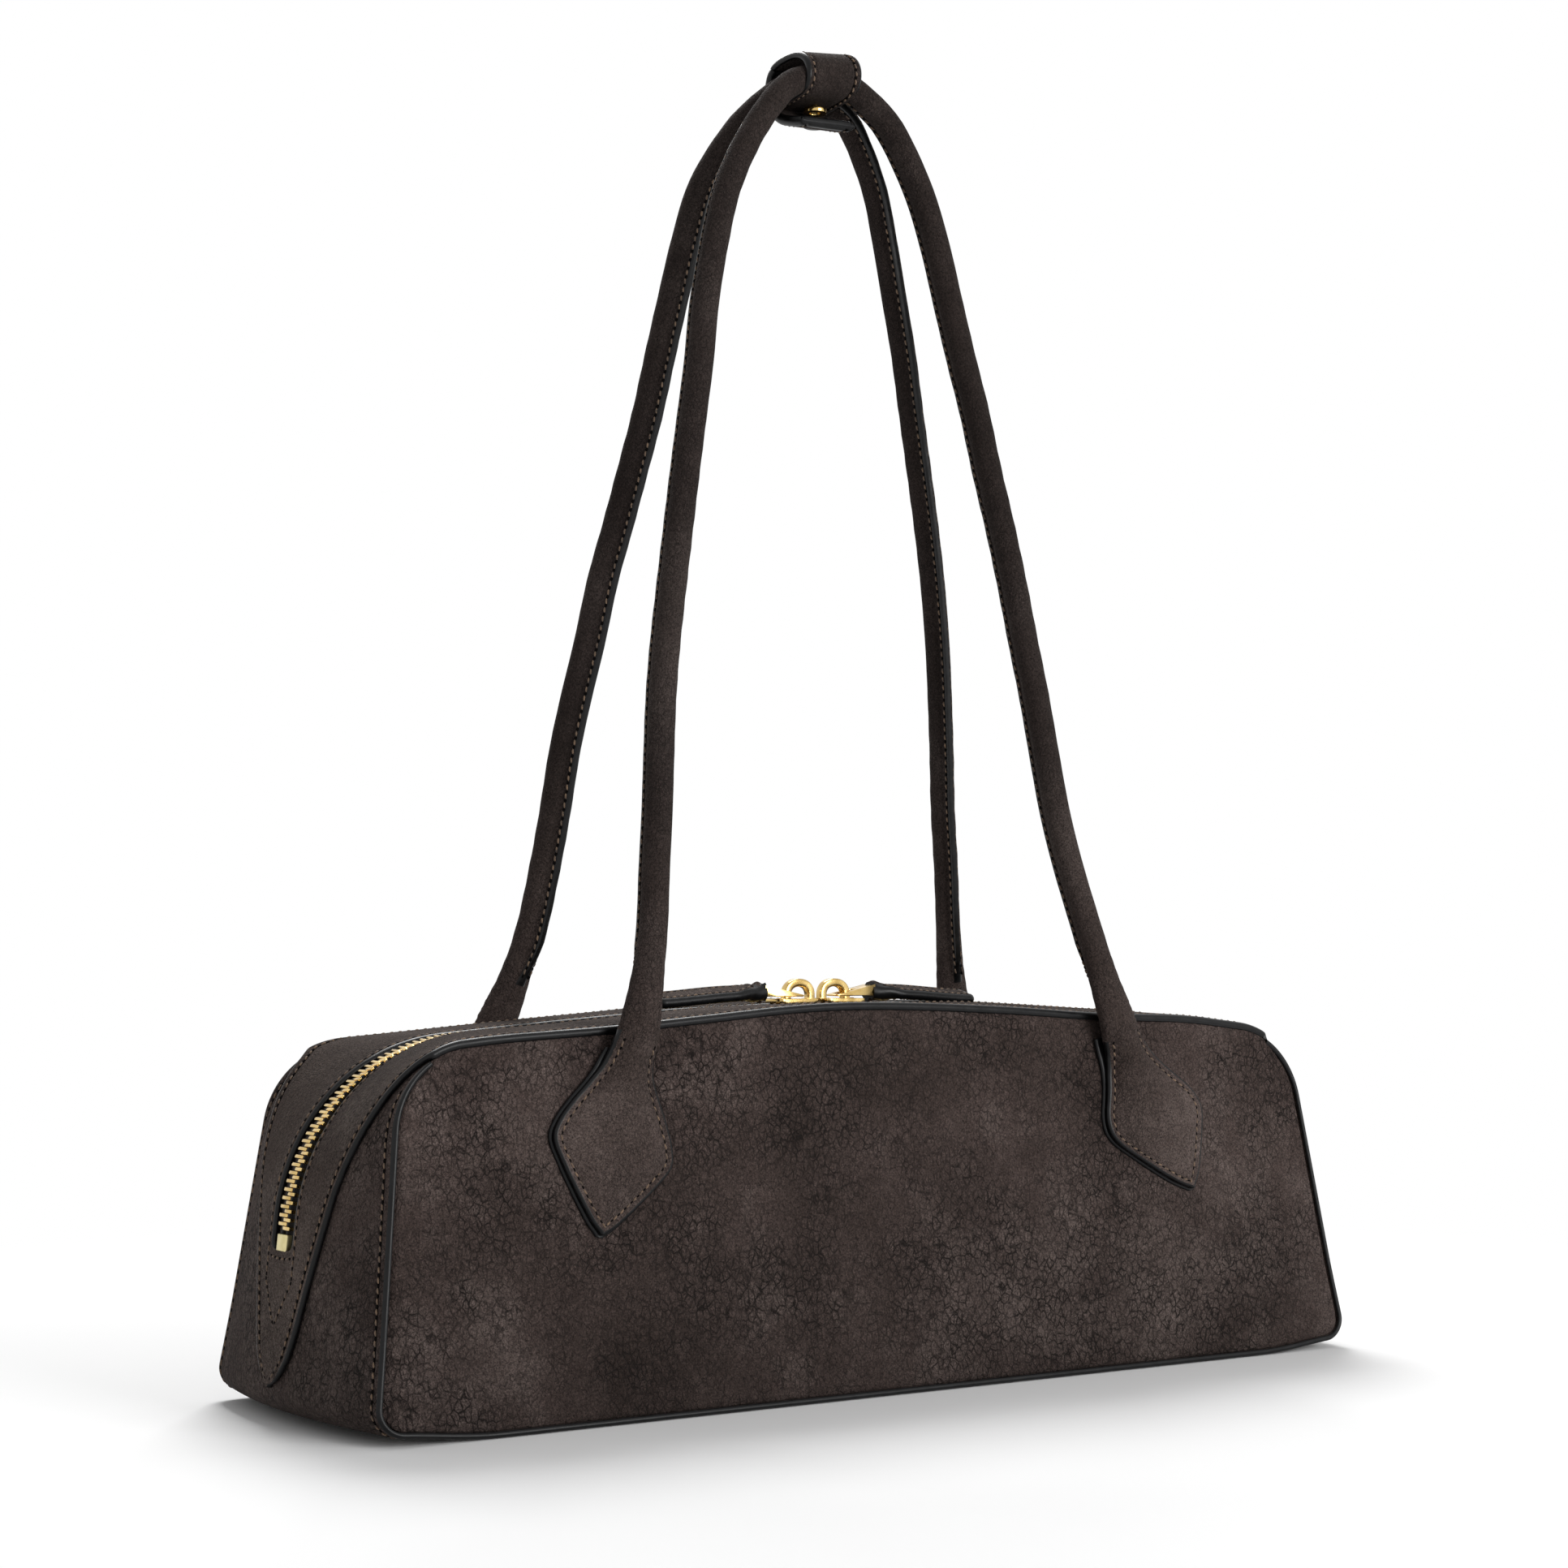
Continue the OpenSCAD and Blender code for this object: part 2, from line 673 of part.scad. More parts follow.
arm_gap = 0.4;
arm_inner = arch_depth / 2 + arm_gap;
link_half = arm_inner + link_arm;
block_length = link_length - arch_width / 2 - arm_gap * 3;
tongue_length = 4;
tongue_thickness = 0.8;
tongue_half = arm_inner - layer_gap;

module at_pin() {
  at_slider() translate([arch_rest_x, 0, pin_z]) children();
}

module link_side() {
  start = pin_radius - layer_gap / 4;
  polygon([[0, -start], [link_length, -pin_radius], [link_length, link_thick - pin_radius],
    [0, start]]);
}

module pull_link() {
  at_pin() union() {
    rotate([90, 0, 0]) cylinder(r = pin_radius, h = link_half * 2, center = true);
    for (side = [-1, 1]) translate([0, side * (link_half - link_arm / 2), 0])
      rotate([90, 0, 0]) linear_extrude(link_arm, center = true) link_side();
    intersection() {
      rotate([90, 0, 0]) linear_extrude(link_half * 2, center = true) link_side();
      translate([link_length - block_length, -link_half, -link_thick])
        cube([block_length, link_half * 2, link_thick * 3]);
    }
    translate([link_length - overrun, -tongue_half, pull_z - tongue_thickness / 2])
      cube([tongue_length + overrun, tongue_half * 2, tongue_thickness]);
  }
}

module right_pull_link() {
  color(gold) pull_link();
}

module left_pull_link() {
  color(gold) mirror([1, 0, 0]) pull_link();
}

// Leather pull: two layers sewn together, with the link's tongue between them at the neck.

pull_z = (link_thick - pin_radius * 2) / 2;
pull_angle = asin(pull_fall / pull_length);
neck_half = link_half;

module pull_outline() {
  round_end = pull_width / 2;
  shoulder = pull_width;
  union() {
    translate([pull_length - round_end, 0]) circle(r = round_end);
    translate([shoulder, -pull_width / 2]) square([pull_length - round_end - shoulder, pull_width]);
    polygon([[0, -neck_half], [shoulder, -pull_width / 2], [shoulder + overrun / 2, 0],
      [shoulder, pull_width / 2], [0, neck_half]]);
  }
}

module pull_tab() {
  at_pin() translate([link_length + layer_gap, 0, pull_z]) difference() {
    rotate([0, pull_angle, 0]) translate([0, 0, -pull_thickness / 2])
      linear_extrude(pull_thickness) pull_outline();
    translate([-overrun, -arm_inner - layer_gap, -tongue_thickness / 2 - layer_gap])
      cube([tongue_length + layer_gap + overrun, (arm_inner + layer_gap) * 2,
        tongue_thickness + layer_gap * 2]);
  }
}

module right_pull_tab() {
  color(leather) pull_tab();
}

module left_pull_tab() {
  color(leather) mirror([1, 0, 0]) pull_tab();
}

// Handles. The curve of one leg, from its foot to the top of the arch, as shares of the foot's
// half distance, of the lean from foot to top, and of the rise.

leg_shares = [[1, 1, 0], [0.93, 0.955, 0.045], [0.885, 0.84, 0.105], [0.81, 0.58, 0.28],
  [0.665, 0.31, 0.525], [0.495, 0.11, 0.77], [0.345, 0.045, 0.895], [0.19, 0.01, 0.968], [0.08, 0, 0.996]];
foot_y = -half_depth(handle_foot) - foot_stand;
handle_rise = handle_top - handle_foot;

function leg_point(share) = [share[0] * foot_half,
  mix(-rod_spacing_half, foot_y, share[1]), handle_foot + share[2] * handle_rise];

right_leg = [for (p = leg_shares) leg_point(p)];
left_leg = [for (i = [len(right_leg) - 1 : -1 : 0]) [-right_leg[i][0], right_leg[i][1], right_leg[i][2]]];
handle_points = concat(right_leg, [[0, -rod_spacing_half, handle_top]], left_leg);

// A smooth curve through points, by Catmull and Rom's rule.
function curve_point(p, i, t) = let (last = len(p) - 1,
    a = p[max(i - 1, 0)], b = p[i], c = p[i + 1], d = p[min(i + 2, last)])
  0.5 * (2 * b + (c - a) * t + (2 * a - 5 * b + 4 * c - d) * t * t
    + (3 * b - a - 3 * c + d) * t * t * t);
function smooth(p, per_span) = concat([for (i = [0 : len(p) - 2], k = [0 : per_span - 1])
  curve_point(p, i, k / per_span)], [p[len(p) - 1]]);
function unit(v) = v / norm(v);

handle_path = smooth(handle_points, rings_per_span);

// The frame of each ring: across the rod towards the other handle, and square to that.
function path_along(path, i) = unit(path[min(i + 1, len(path) - 1)] - path[max(i - 1, 0)]);
function path_inward(path, i) = let (t = path_along(path, i), y = [0, 1, 0]) unit(y - (y * t) * t);
function ring(path, i, section) = let (n = path_inward(path, i), b = cross(path_along(path, i), n))
  [for (q = section) path[i] + q[0] * n + q[1] * b];

// The rod's section: a circle with a lip on the side that faces the other handle.
rod_sides = 12;
lip_half = rod_radius * 0.3;
lip_fade = 12;
function rod_section(lip) = concat(
  [[rod_radius + lip, -lip_half], [rod_radius + lip, lip_half]],
  [for (k = [1 : rod_sides - 1]) let (a = 10 + (360 - 20) * k / rod_sides) rod_radius * [cos(a), sin(a)]]);
cord_radius = rod_radius - rod_wall - cord_gap;
function round_section(radius, sides) = [for (k = [0 : sides - 1]) radius * [cos(360 * k / sides), sin(360 * k / sides)]];

// The lip grows out of the rod above the panel and fades at the top, under the keeper.
lip_stand = 14;
lip_low = handle_foot + lip_stand;
keeper_half = keeper_width / 2;
function lip_at(p) = lip_reach * min(max((p[2] - lip_low) / lip_fade, 0), 1);

module tube(rings) {
  count = len(rings[0]);
  size = len(rings);
  faces = concat(
    [for (r = [0 : size - 2]) for (k = [0 : count - 1]) let (i = r * count, n = (k + 1) % count)
      each [[i + k, i + count + k, i + n], [i + n, i + count + k, i + count + n]]],
    [[for (k = [0 : count - 1]) k]],
    [[for (k = [count - 1 : -1 : 0]) (size - 1) * count + k]]);
  polyhedron([for (r = rings) each r], faces);
}

cord_start = 1;

// The rod's leather. Its feet are round, so that they turn on the tabs' necks.
module handle_leather() {
  last = len(handle_path) - 1;
  inner = round_section(rod_radius - rod_wall, 8);
  difference() {
    union() {
      tube([for (i = [0 : last]) ring(handle_path, i, rod_section(lip_at(handle_path[i])))]);
      for (end = [0, last]) translate(handle_path[end]) sphere(r = rod_radius, $fn = 20);
    }
    tube([for (i = [cord_start : last - cord_start]) ring(handle_path, i, inner)]);
  }
}

module handle_core() {
  last = len(handle_path) - 1;
  trimmed = [for (i = [cord_start : last - cord_start]) handle_path[i]];
  top = len(trimmed) - 1;
  first = mix(trimmed[0], trimmed[1], 0.1);
  final = mix(trimmed[top], trimmed[top - 1], 0.1);
  path = concat([first], [for (i = [1 : top - 1]) trimmed[i]], [final]);
  tube([for (i = [0 : top]) ring(path, i, round_section(cord_radius, 8))]);
}

module front_handle() {
  color(leather) handle_leather();
}

module back_handle() {
  color(leather) rotate([0, 0, 180]) handle_leather();
}

module front_handle_cord() {
  color(rope_white) handle_core();
}

module back_handle_cord() {
  color(rope_white) rotate([0, 0, 180]) handle_core();
}

// Tabs: a kite of two leathers on the panel below each foot. Shares of its length from the neck
// down, and of its half width.

kite_shares = [[0, 0.3], [0.12, 0.36], [0.25, 0.5], [0.38, 0.7], [0.48, 0.9], [0.53, 0.97],
  [0.57, 1], [0.61, 0.98], [0.65, 0.9], [0.95, 0.16], [0.98, 0.07], [1, 0]];

function kite(length, half) = concat([for (p = kite_shares) [p[1] * half, -p[0] * length]],
  [for (i = [len(kite_shares) - 2 : -1 : 0]) [-kite_shares[i][1] * half, -kite_shares[i][0] * length]]);

neck_drop = rod_radius + neck_gap;

// Puts a kite on the front plane under the right foot, with its neck just below the round foot.
module under_foot(low, thickness) {
  on_front_plane() translate([foot_half, up_plane(handle_foot), low]) rotate([0, 0, tab_lean])
    translate([0, -neck_drop, 0]) linear_extrude(thickness) children();
}

module kite_tab() {
  under_foot(backing_thickness + layer_gap * 2, tab_thickness) polygon(kite(tab_length, tab_half));
}

module kite_backing() {
  under_foot(layer_gap, backing_thickness) translate([0, -backing_margin])
    polygon(kite(tab_length, tab_half + backing_margin));
}

module front_right_tab() {
  color(leather) kite_tab();
}

module front_left_tab() {
  color(leather) mirror([1, 0, 0]) kite_tab();
}

module back_right_tab() {
  color(leather) mirror([0, 1, 0]) kite_tab();
}

module back_left_tab() {
  color(leather) rotate([0, 0, 180]) kite_tab();
}

module front_right_backing() {
  color(edge_paint) kite_backing();
}

module front_left_backing() {
  color(edge_paint) mirror([1, 0, 0]) kite_backing();
}

module back_right_backing() {
  color(edge_paint) mirror([0, 1, 0]) kite_backing();
}

module back_left_backing() {
  color(edge_paint) rotate([0, 0, 180]) kite_backing();
}

// Keeper. Its profile lies in the plane across the rods. The strap covers the top and the front
// and tucks back under the rods. The flap covers the back, passes under that tuck and snaps on.

loop_radius = rod_radius + keeper_gap + keeper_drop / 2;
loop_z = handle_top + keeper_gap - keeper_drop / 2;
outer_radius = loop_radius + keeper_thickness;
low_radius = outer_radius + snap_gap;
low_outer_radius = low_radius + keeper_thickness;
tuck_end = rod_spacing_half;
flap_split = rod_spacing_half + loop_radius / 4;
flap_tip = -rod_spacing_half;
keeper_joint_gap = 0.3;

// A run of round-ended shape: y across the rods, z up, swept along the rods.
module loop_shape(radius) {
  for (side = [-1, 1]) translate([side * rod_spacing_half, 0]) circle(r = radius);
  square([rod_spacing_half * 2, radius * 2], center = true);
}

// A window in the same plane.
module window(y_low, y_high, z_low, z_high) {
  translate([y_low, z_low]) square([y_high - y_low, z_high - z_low]);
}

module along_rods(width) {
  translate([0, 0, loop_z]) rotate([90, 0, 90]) linear_extrude(width, center = true) children();
}

far_out = low_outer_radius * 4;

module keeper_strap() {
  color(leather) difference() {
    along_rods(keeper_width) difference() {
      loop_shape(outer_radius);
      loop_shape(loop_radius);
      window(flap_split, far_out, 0, far_out);
      window(tuck_end, far_out, -far_out, keeper_joint_gap);
    }
    translate([0, 0, loop_z - far_out / 2]) cylinder(r = post_radius + layer_gap / 2, h = far_out / 2);
  }
}

// The flap's back wall swings out from the strap's level at the top to below the tuck.
module keeper_flap() {
  back_radius = (low_outer_radius + outer_radius) / 2;
  back_z = (low_outer_radius - outer_radius) / 2;
  color(leather) difference() {
    along_rods(keeper_width) difference() {
      union() {
        translate([rod_spacing_half, -back_z]) circle(r = back_radius);
        window(flap_tip, rod_spacing_half, -low_outer_radius, -low_radius);
      }
      translate([rod_spacing_half, -back_z]) circle(r = back_radius - keeper_thickness);
      window(-far_out, flap_split + keeper_joint_gap, 0, far_out);
      window(-far_out, rod_spacing_half, -low_radius, far_out);
    }
    translate([0, 0, loop_z - far_out / 2]) cylinder(r = post_radius + layer_gap / 2, h = far_out / 2);
  }
}

// Snap: a socket riveted under the tuck, a stud riveted on the flap, and the stud's outer cap.

tuck_under = loop_z - outer_radius;
flap_over = loop_z - low_radius;
flap_under = loop_z - low_outer_radius;
stud_height = snap_gap - snap_flange - layer_gap * 2;
socket_height = snap_gap - snap_flange - layer_gap * 2;

module snap_socket() {
  color(gold) union() {
    difference() {
      translate([0, 0, tuck_under - layer_gap / 2 - socket_height]) cylinder(r = snap_radius, h = socket_height);
      translate([0, 0, tuck_under - layer_gap / 2 - socket_height - overrun])
        cylinder(r = stud_radius + stud_clearance, h = overrun + socket_height - snap_flange);
    }
    translate([0, 0, tuck_under - layer_gap]) cylinder(r = post_radius, h = keeper_thickness);
  }
}

module snap_stud() {
  stud_top = flap_over + layer_gap / 2 + snap_flange + stud_height - snap_flange - layer_gap;
  color(gold) union() {
    translate([0, 0, flap_over + layer_gap / 2]) cylinder(r = snap_radius, h = snap_flange);
    translate([0, 0, flap_over + layer_gap / 2]) cylinder(r = stud_radius, h = stud_top - flap_over - layer_gap / 2);
  }
}

module snap_cap() {
  color(gold) union() {
    translate([0, 0, flap_under - layer_gap / 2 - snap_flange]) cylinder(r = snap_radius, h = snap_flange);
    translate([0, 0, flap_under - layer_gap]) cylinder(r = post_radius, h = keeper_thickness + layer_gap);
  }
}

front_panel();
back_panel();
gusset();
base_board();
lining();
left_strip_end();
right_strip_end();
front_strip();
back_strip();
left_zip_tape();
right_zip_tape();
front_zip_tape();
back_zip_tape();
left_zip_teeth();
right_zip_teeth();
front_zip_teeth();
back_zip_teeth();
left_end_stop();
right_end_stop();
left_slider();
right_slider();
left_pull_link();
right_pull_link();
left_pull_tab();
right_pull_tab();
front_left_tab();
front_right_tab();
back_left_tab();
back_right_tab();
front_left_backing();
front_right_backing();
back_left_backing();
back_right_backing();
front_handle();
back_handle();
front_handle_cord();
back_handle_cord();
keeper_strap();
keeper_flap();
snap_socket();
snap_stud();
snap_cap();
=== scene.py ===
import bpy
import math
import numpy as np
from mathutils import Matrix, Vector, kdtree


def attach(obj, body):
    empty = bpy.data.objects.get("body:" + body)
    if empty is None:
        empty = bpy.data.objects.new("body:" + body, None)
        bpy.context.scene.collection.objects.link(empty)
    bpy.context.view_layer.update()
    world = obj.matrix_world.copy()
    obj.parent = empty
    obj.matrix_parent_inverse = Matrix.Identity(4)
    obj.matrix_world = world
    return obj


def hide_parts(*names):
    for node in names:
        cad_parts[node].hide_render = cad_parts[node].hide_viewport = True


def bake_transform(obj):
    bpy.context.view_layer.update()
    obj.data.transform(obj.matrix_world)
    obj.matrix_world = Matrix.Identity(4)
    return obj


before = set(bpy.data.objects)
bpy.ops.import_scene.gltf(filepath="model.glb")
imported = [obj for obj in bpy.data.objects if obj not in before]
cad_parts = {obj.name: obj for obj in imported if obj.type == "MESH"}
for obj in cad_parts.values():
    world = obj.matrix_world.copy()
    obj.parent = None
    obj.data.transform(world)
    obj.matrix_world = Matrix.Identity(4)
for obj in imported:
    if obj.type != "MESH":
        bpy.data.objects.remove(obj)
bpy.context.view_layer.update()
mm = 0.001

# sizes in millimetres, as in the part's source
bag = {
    "baseLength": 381, "endRake": 13.6, "endBulge": 6.7, "baseDepth": 113.2, "topDepth": 84.4,
    "cornerHeight": 112, "edgeHeight": 120.9, "topDome": 0.8, "crownRadius": 1400,
    "edgeCorner": 27, "middleCorner": 62, "footRadius": 8,
}


# camera: place in millimetres, turn and rise in degrees
view = {"place": (-562.0, -805.1, 143.4), "turn": 34.3, "rise": 3.1, "lens": 66.8, "sensor": 36,
        "near": 0.05, "far": 60}

cameraData = bpy.data.cameras.new("camera")
camera = bpy.data.objects.new("camera", cameraData)
bpy.context.scene.collection.objects.link(camera)
bpy.context.scene.camera = camera
cameraData.lens, cameraData.sensor_width = view["lens"], view["sensor"]
cameraData.clip_start, cameraData.clip_end = view["near"], view["far"]
turn, rise = math.radians(view["turn"]), math.radians(view["rise"])
look = Vector((math.sin(turn) * math.cos(rise), math.cos(turn) * math.cos(rise), math.sin(rise)))
camera.location = Vector(view["place"]) * mm
camera.rotation_mode = "QUATERNION"
camera.rotation_quaternion = look.to_track_quat("-Z", "Y")
print("camera set")


# making meshes: merge distance in metres, then angles in degrees
meshing = {"merge": 0.00001, "flat": 1, "bevelFrom": 30, "bevelSteps": 2, "cloth": 60, "metal": 40}


def deselectAll():
    if bpy.context.object and bpy.context.object.mode != "OBJECT":
        bpy.ops.object.mode_set(mode="OBJECT")
    bpy.ops.object.select_all(action="DESELECT")


def pick(piece):
    deselectAll()
    piece.select_set(True)
    bpy.context.view_layer.objects.active = piece


def startEdit(piece):
    pick(piece)
    bpy.ops.object.mode_set(mode="EDIT")
    bpy.ops.mesh.select_all(action="SELECT")


def endEdit():
    bpy.ops.mesh.select_all(action="SELECT")
    bpy.ops.mesh.normals_make_consistent(inside=False)
    bpy.ops.object.mode_set(mode="OBJECT")


def smooth(piece, angle):
    pick(piece)
    bpy.ops.object.shade_smooth_by_angle(angle=math.radians(angle))


def applyAll(piece):
    pick(piece)
    for modifier in list(piece.modifiers):
        bpy.ops.object.modifier_apply(modifier=modifier.name)


def readPoints(piece):
    flat = np.empty(len(piece.data.vertices) * 3)
    piece.data.vertices.foreach_get("co", flat)
    return flat.reshape(-1, 3)


def writePoints(piece, points):
    piece.data.vertices.foreach_set("co", np.asarray(points, float).ravel())
    piece.data.update()


def takeShape(piece):
    # a primitive's points and faces, for copying
    points = readPoints(piece)
    faces = [list(p.vertices) for p in piece.data.polygons]
    bpy.data.objects.remove(piece)
    return points, faces


def looseMesh(name, points, faces, materials, slots=None):
    # many small closed shapes in one mesh, in millimetres
    mesh = bpy.data.meshes.new(name)
    mesh.from_pydata((points * mm).tolist(), [], faces)
    for material in materials:
        mesh.materials.append(material)
    if slots is not None:
        mesh.polygons.foreach_set("material_index", slots)
    piece = bpy.data.objects.new(name, mesh)
    bpy.context.scene.collection.objects.link(piece)
    startEdit(piece)
    endEdit()
    return piece


def closeMesh(piece):
    startEdit(piece)
    bpy.ops.mesh.remove_doubles(threshold=meshing["merge"])
    bpy.ops.mesh.dissolve_degenerate(threshold=meshing["merge"])
    bpy.ops.mesh.select_all(action="DESELECT")
    bpy.ops.mesh.select_mode(type="EDGE")
    bpy.ops.mesh.select_non_manifold(extend=False, use_wire=False, use_boundary=True,
                                     use_multi_face=False, use_non_contiguous=False, use_verts=False)
    bpy.ops.mesh.edge_face_add()
    bpy.ops.mesh.select_mode(type="VERT")
    endEdit()


def sheetGrid(name, points, materials, faceSlots=None, smoothAngle=meshing["cloth"]):
    # a grid primitive laid over an array of points, rows by columns, in millimetres
    rows, columns = points.shape[:2]
    deselectAll()
    bpy.ops.mesh.primitive_grid_add(x_subdivisions=columns - 1, y_subdivisions=rows - 1, size=1)
    piece = bpy.context.object
    piece.name = name
    writePoints(piece, points.reshape(-1, 3) * mm)
    for material in materials:
        piece.data.materials.append(material)
    if faceSlots is not None:
        slots = np.broadcast_to(faceSlots, (rows - 1, columns - 1)).ravel()
        piece.data.polygons.foreach_set("material_index", slots.astype(np.int32))
    # the UV map holds real lengths in metres, across and along
    across, along = (np.linalg.norm(np.diff(points, axis=k), axis=2).mean(1 - k) for k in (1, 0))
    uv = np.stack(np.meshgrid(*(np.concatenate([[0], np.cumsum(v)]) * mm for v in (across, along))), -1)
    uv = uv.reshape(-1, 2)
    loops = np.empty(len(piece.data.loops), np.int32)
    piece.data.loops.foreach_get("vertex_index", loops)
    piece.data.uv_layers[0].data.foreach_set("uv", uv[loops].ravel())
    closeMesh(piece)
    smooth(piece, smoothAngle)
    return piece


def polishedCopy(node, material, width, cutAt):
    # a CAD node's shape with its sharp edges rounded, cut off at a height if one is given
    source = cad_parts[node]
    piece = source.copy()
    piece.data = source.data.copy()
    for key in list(piece.keys()):
        del piece[key]
    piece.parent = None
    piece.name = f"{node}_metal"
    bpy.context.scene.collection.objects.link(piece)
    piece.data.materials.clear()
    piece.data.materials.append(material)
    startEdit(piece)
    bpy.ops.mesh.remove_doubles(threshold=meshing["merge"])
    bpy.ops.mesh.dissolve_limited(angle_limit=math.radians(meshing["flat"]))
    bpy.ops.mesh.normals_make_consistent(inside=False)
    if cutAt is not None:
        bpy.ops.mesh.bisect(plane_co=(0, 0, cutAt * mm), plane_no=(0, 0, 1), use_fill=True, clear_outer=True)
    bpy.ops.object.mode_set(mode="OBJECT")
    bevel = piece.modifiers.new("rounding", "BEVEL")
    bevel.width = width * mm
    bevel.segments = meshing["bevelSteps"]
    bevel.limit_method = "ANGLE"
    bevel.angle_limit = math.radians(meshing["bevelFrom"])
    piece.modifiers.new("triangles", "TRIANGULATE")
    applyAll(piece)
    smooth(piece, meshing["metal"])
    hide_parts(node)
    return piece


def mix(a, b, t):
    return a + (b - a) * t


def ease(t):
    t = np.clip(t, 0, 1)
    return t * t * (3 - 2 * t)


def unit(v):
    return v / np.maximum(np.linalg.norm(v, axis=-1, keepdims=True), 1e-9)


def stepsAlong(line):
    return np.concatenate([[0], np.cumsum(np.linalg.norm(np.diff(line, axis=0), axis=1))])


def pointsAt(where, steps, line):
    return np.stack([np.interp(where, steps, line[:, k]) for k in range(line.shape[1])], 1)


def resample(line, count):
    steps = stepsAlong(line)
    return pointsAt(np.linspace(0, steps[-1], count), steps, line)


def column(table, k):
    return np.array(table, float)[:, k]


def lookUp(value, table):
    return np.interp(value, column(table, 0), column(table, 1))


def words(side, face):
    return "left" if side < 0 else "right", "front" if face < 0 else "back"


# the bag's skin: a station runs 0 at the middle of the top, 1 where the crown ends, 2 below the
# corner, 3 above the foot, 4 on the ground, and is negative on the left
endTilt = math.atan(bag["endRake"] / bag["cornerHeight"])
middleTilt = endTilt - math.atan(bag["endBulge"] / bag["cornerHeight"]) / 3
sideLean = math.atan((bag["baseDepth"] - bag["topDepth"]) / 2 / bag["cornerHeight"])


def halfDepth(z):
    return bag["baseDepth"] / 2 - z * math.tan(sideLean)


def profileLine(top, corner, foot, tilt):
    big, small = bag["crownRadius"], bag["footRadius"]
    centre = top - big
    end = math.asin((foot * math.cos(tilt) - corner - centre * math.sin(tilt)) / (big - corner)) - tilt
    side = math.pi / 2 - tilt
    cornerAt = ((big - corner) * math.sin(end), centre + (big - corner) * math.cos(end))
    footAt = ((foot * math.cos(tilt) - small * (1 + math.sin(tilt))) / math.cos(tilt), small)

    def at(s):
        s = np.asarray(s, float)
        lean = np.select([s <= 1, s <= 2, s <= 3], [end * s, mix(end, side, s - 1), side + 0 * s],
                         mix(side, math.pi, s - 3))
        t = np.clip(s - 2, 0, 1)
        straight = [mix(cornerAt[k] + corner * trig(side), footAt[k] + small * trig(side), t)
                    for k, trig in ((0, math.sin), (1, math.cos))]
        x = np.select([s <= 1, s <= 2, s <= 3],
                      [big * np.sin(lean), cornerAt[0] + corner * np.sin(lean), straight[0]],
                      footAt[0] + small * np.sin(lean))
        z = np.select([s <= 1, s <= 2, s <= 3],
                      [centre + big * np.cos(lean), cornerAt[1] + corner * np.cos(lean), straight[1]],
                      footAt[1] + small * np.cos(lean))
        return x, z, lean
    return at


edgeLine = profileLine(bag["edgeHeight"], bag["edgeCorner"], bag["baseLength"] / 2, endTilt)
middleLine = profileLine(bag["edgeHeight"] + bag["topDome"], bag["middleCorner"],
                         bag["baseLength"] / 2 + bag["endBulge"], middleTilt)


def skin(station, y, rise=0.0):
    # a point of the skin at a station, y millimetres from the middle, and a height above it
    s, side = np.abs(station), np.where(np.asarray(station) < 0, -1.0, 1.0)
    ex, ez, el = edgeLine(s)
    mx, mz, ml = middleLine(s)
    across = y / halfDepth(ez)
    k = across * across
    lean = mix(ml, el, k)
    return np.stack([side * (mix(mx, ex, k) + rise * np.sin(lean)), across * halfDepth(ez),
                     mix(mz, ez, k) + rise * np.cos(lean)], -1)


def edgeDepth(station):
    return halfDepth(edgeLine(np.abs(station))[1])


# how the soft bag has settled: the top dips beside the tabs and peaks in the middle, the bottom
# corners lift a little, and the strips' inner edges hang beside the sliders
settled = {
    "x": [-200, -176, -148, -120, -103, -86, -62, -43, -24, -8, 18, 49, 84, 110, 129, 152, 200],
    "front": [0, 0, 0.1, -1.1, -1.6, -1.3, -0.7, 0.3, 0.9, 0.9, 0.3, -0.5, -1.3, -0.5, 0.7, 0.3, 0],
    "back": [0, -0.8, -2.0, -2.4, -2.3, -2.3, -1.9, -1.0, 0.3, 0.8, 0.5, 0.3, 0.2, 0.4, 0.8, 0.7, 0],
    "blur": 8, "top": 118, "endsAbove": 126, "endsOver": 50, "backFrom": -22, "backOver": 24,
    "cornerLift": 3.0, "liftFrom": 150, "liftOver": 42, "liftHeight": 34,
    "mouthSag": 1.7, "sagFrom": 18, "sagOver": 40, "sagDepth": 41, "sagAbove": 112, "sagBelow": 140,
}


def settle(points):
    p = np.array(points, float)
    shape = p.shape
    p = p.reshape(-1, 3)
    x, y, z = p[:, 0].copy(), p[:, 1], p[:, 2].copy()
    blur = settled["blur"]
    front, back = (sum(np.interp(x + d, settled["x"], settled[k]) for d in (-blur, 0, blur)) / 3
                   for k in ("front", "back"))
    backness = ease((y - settled["backFrom"]) / settled["backOver"])
    height = np.clip(z / settled["top"], 0, 1) ** 2
    height = height * (1 - ease((z - settled["endsAbove"]) / settled["endsOver"]))
    low = 1 - ease(z / settled["liftHeight"])
    lift = settled["cornerLift"] * ease((np.abs(x) - settled["liftFrom"]) / settled["liftOver"])
    sag = settled["mouthSag"] * (1 - ease((np.abs(x) - settled["sagFrom"]) / settled["sagOver"]))
    sag = sag * np.clip(1 - (y / settled["sagDepth"]) ** 2, 0, 1)
    sag = sag * ease((z - settled["sagAbove"]) / 4) * (z < settled["sagBelow"])
    p[:, 2] += mix(front, back, backness) * height + lift * low - sag
    return p.reshape(shape)


# materials
def colour(r, g, b):
    # an sRGB colour from 0 to 255 as linear light
    return tuple((c / 255 / 12.92 if c / 255 <= 0.04045 else ((c / 255 + 0.055) / 1.055) ** 2.4)
                 for c in (r, g, b)) + (1.0,)


def grey(v):
    return (v, v, v, 1)


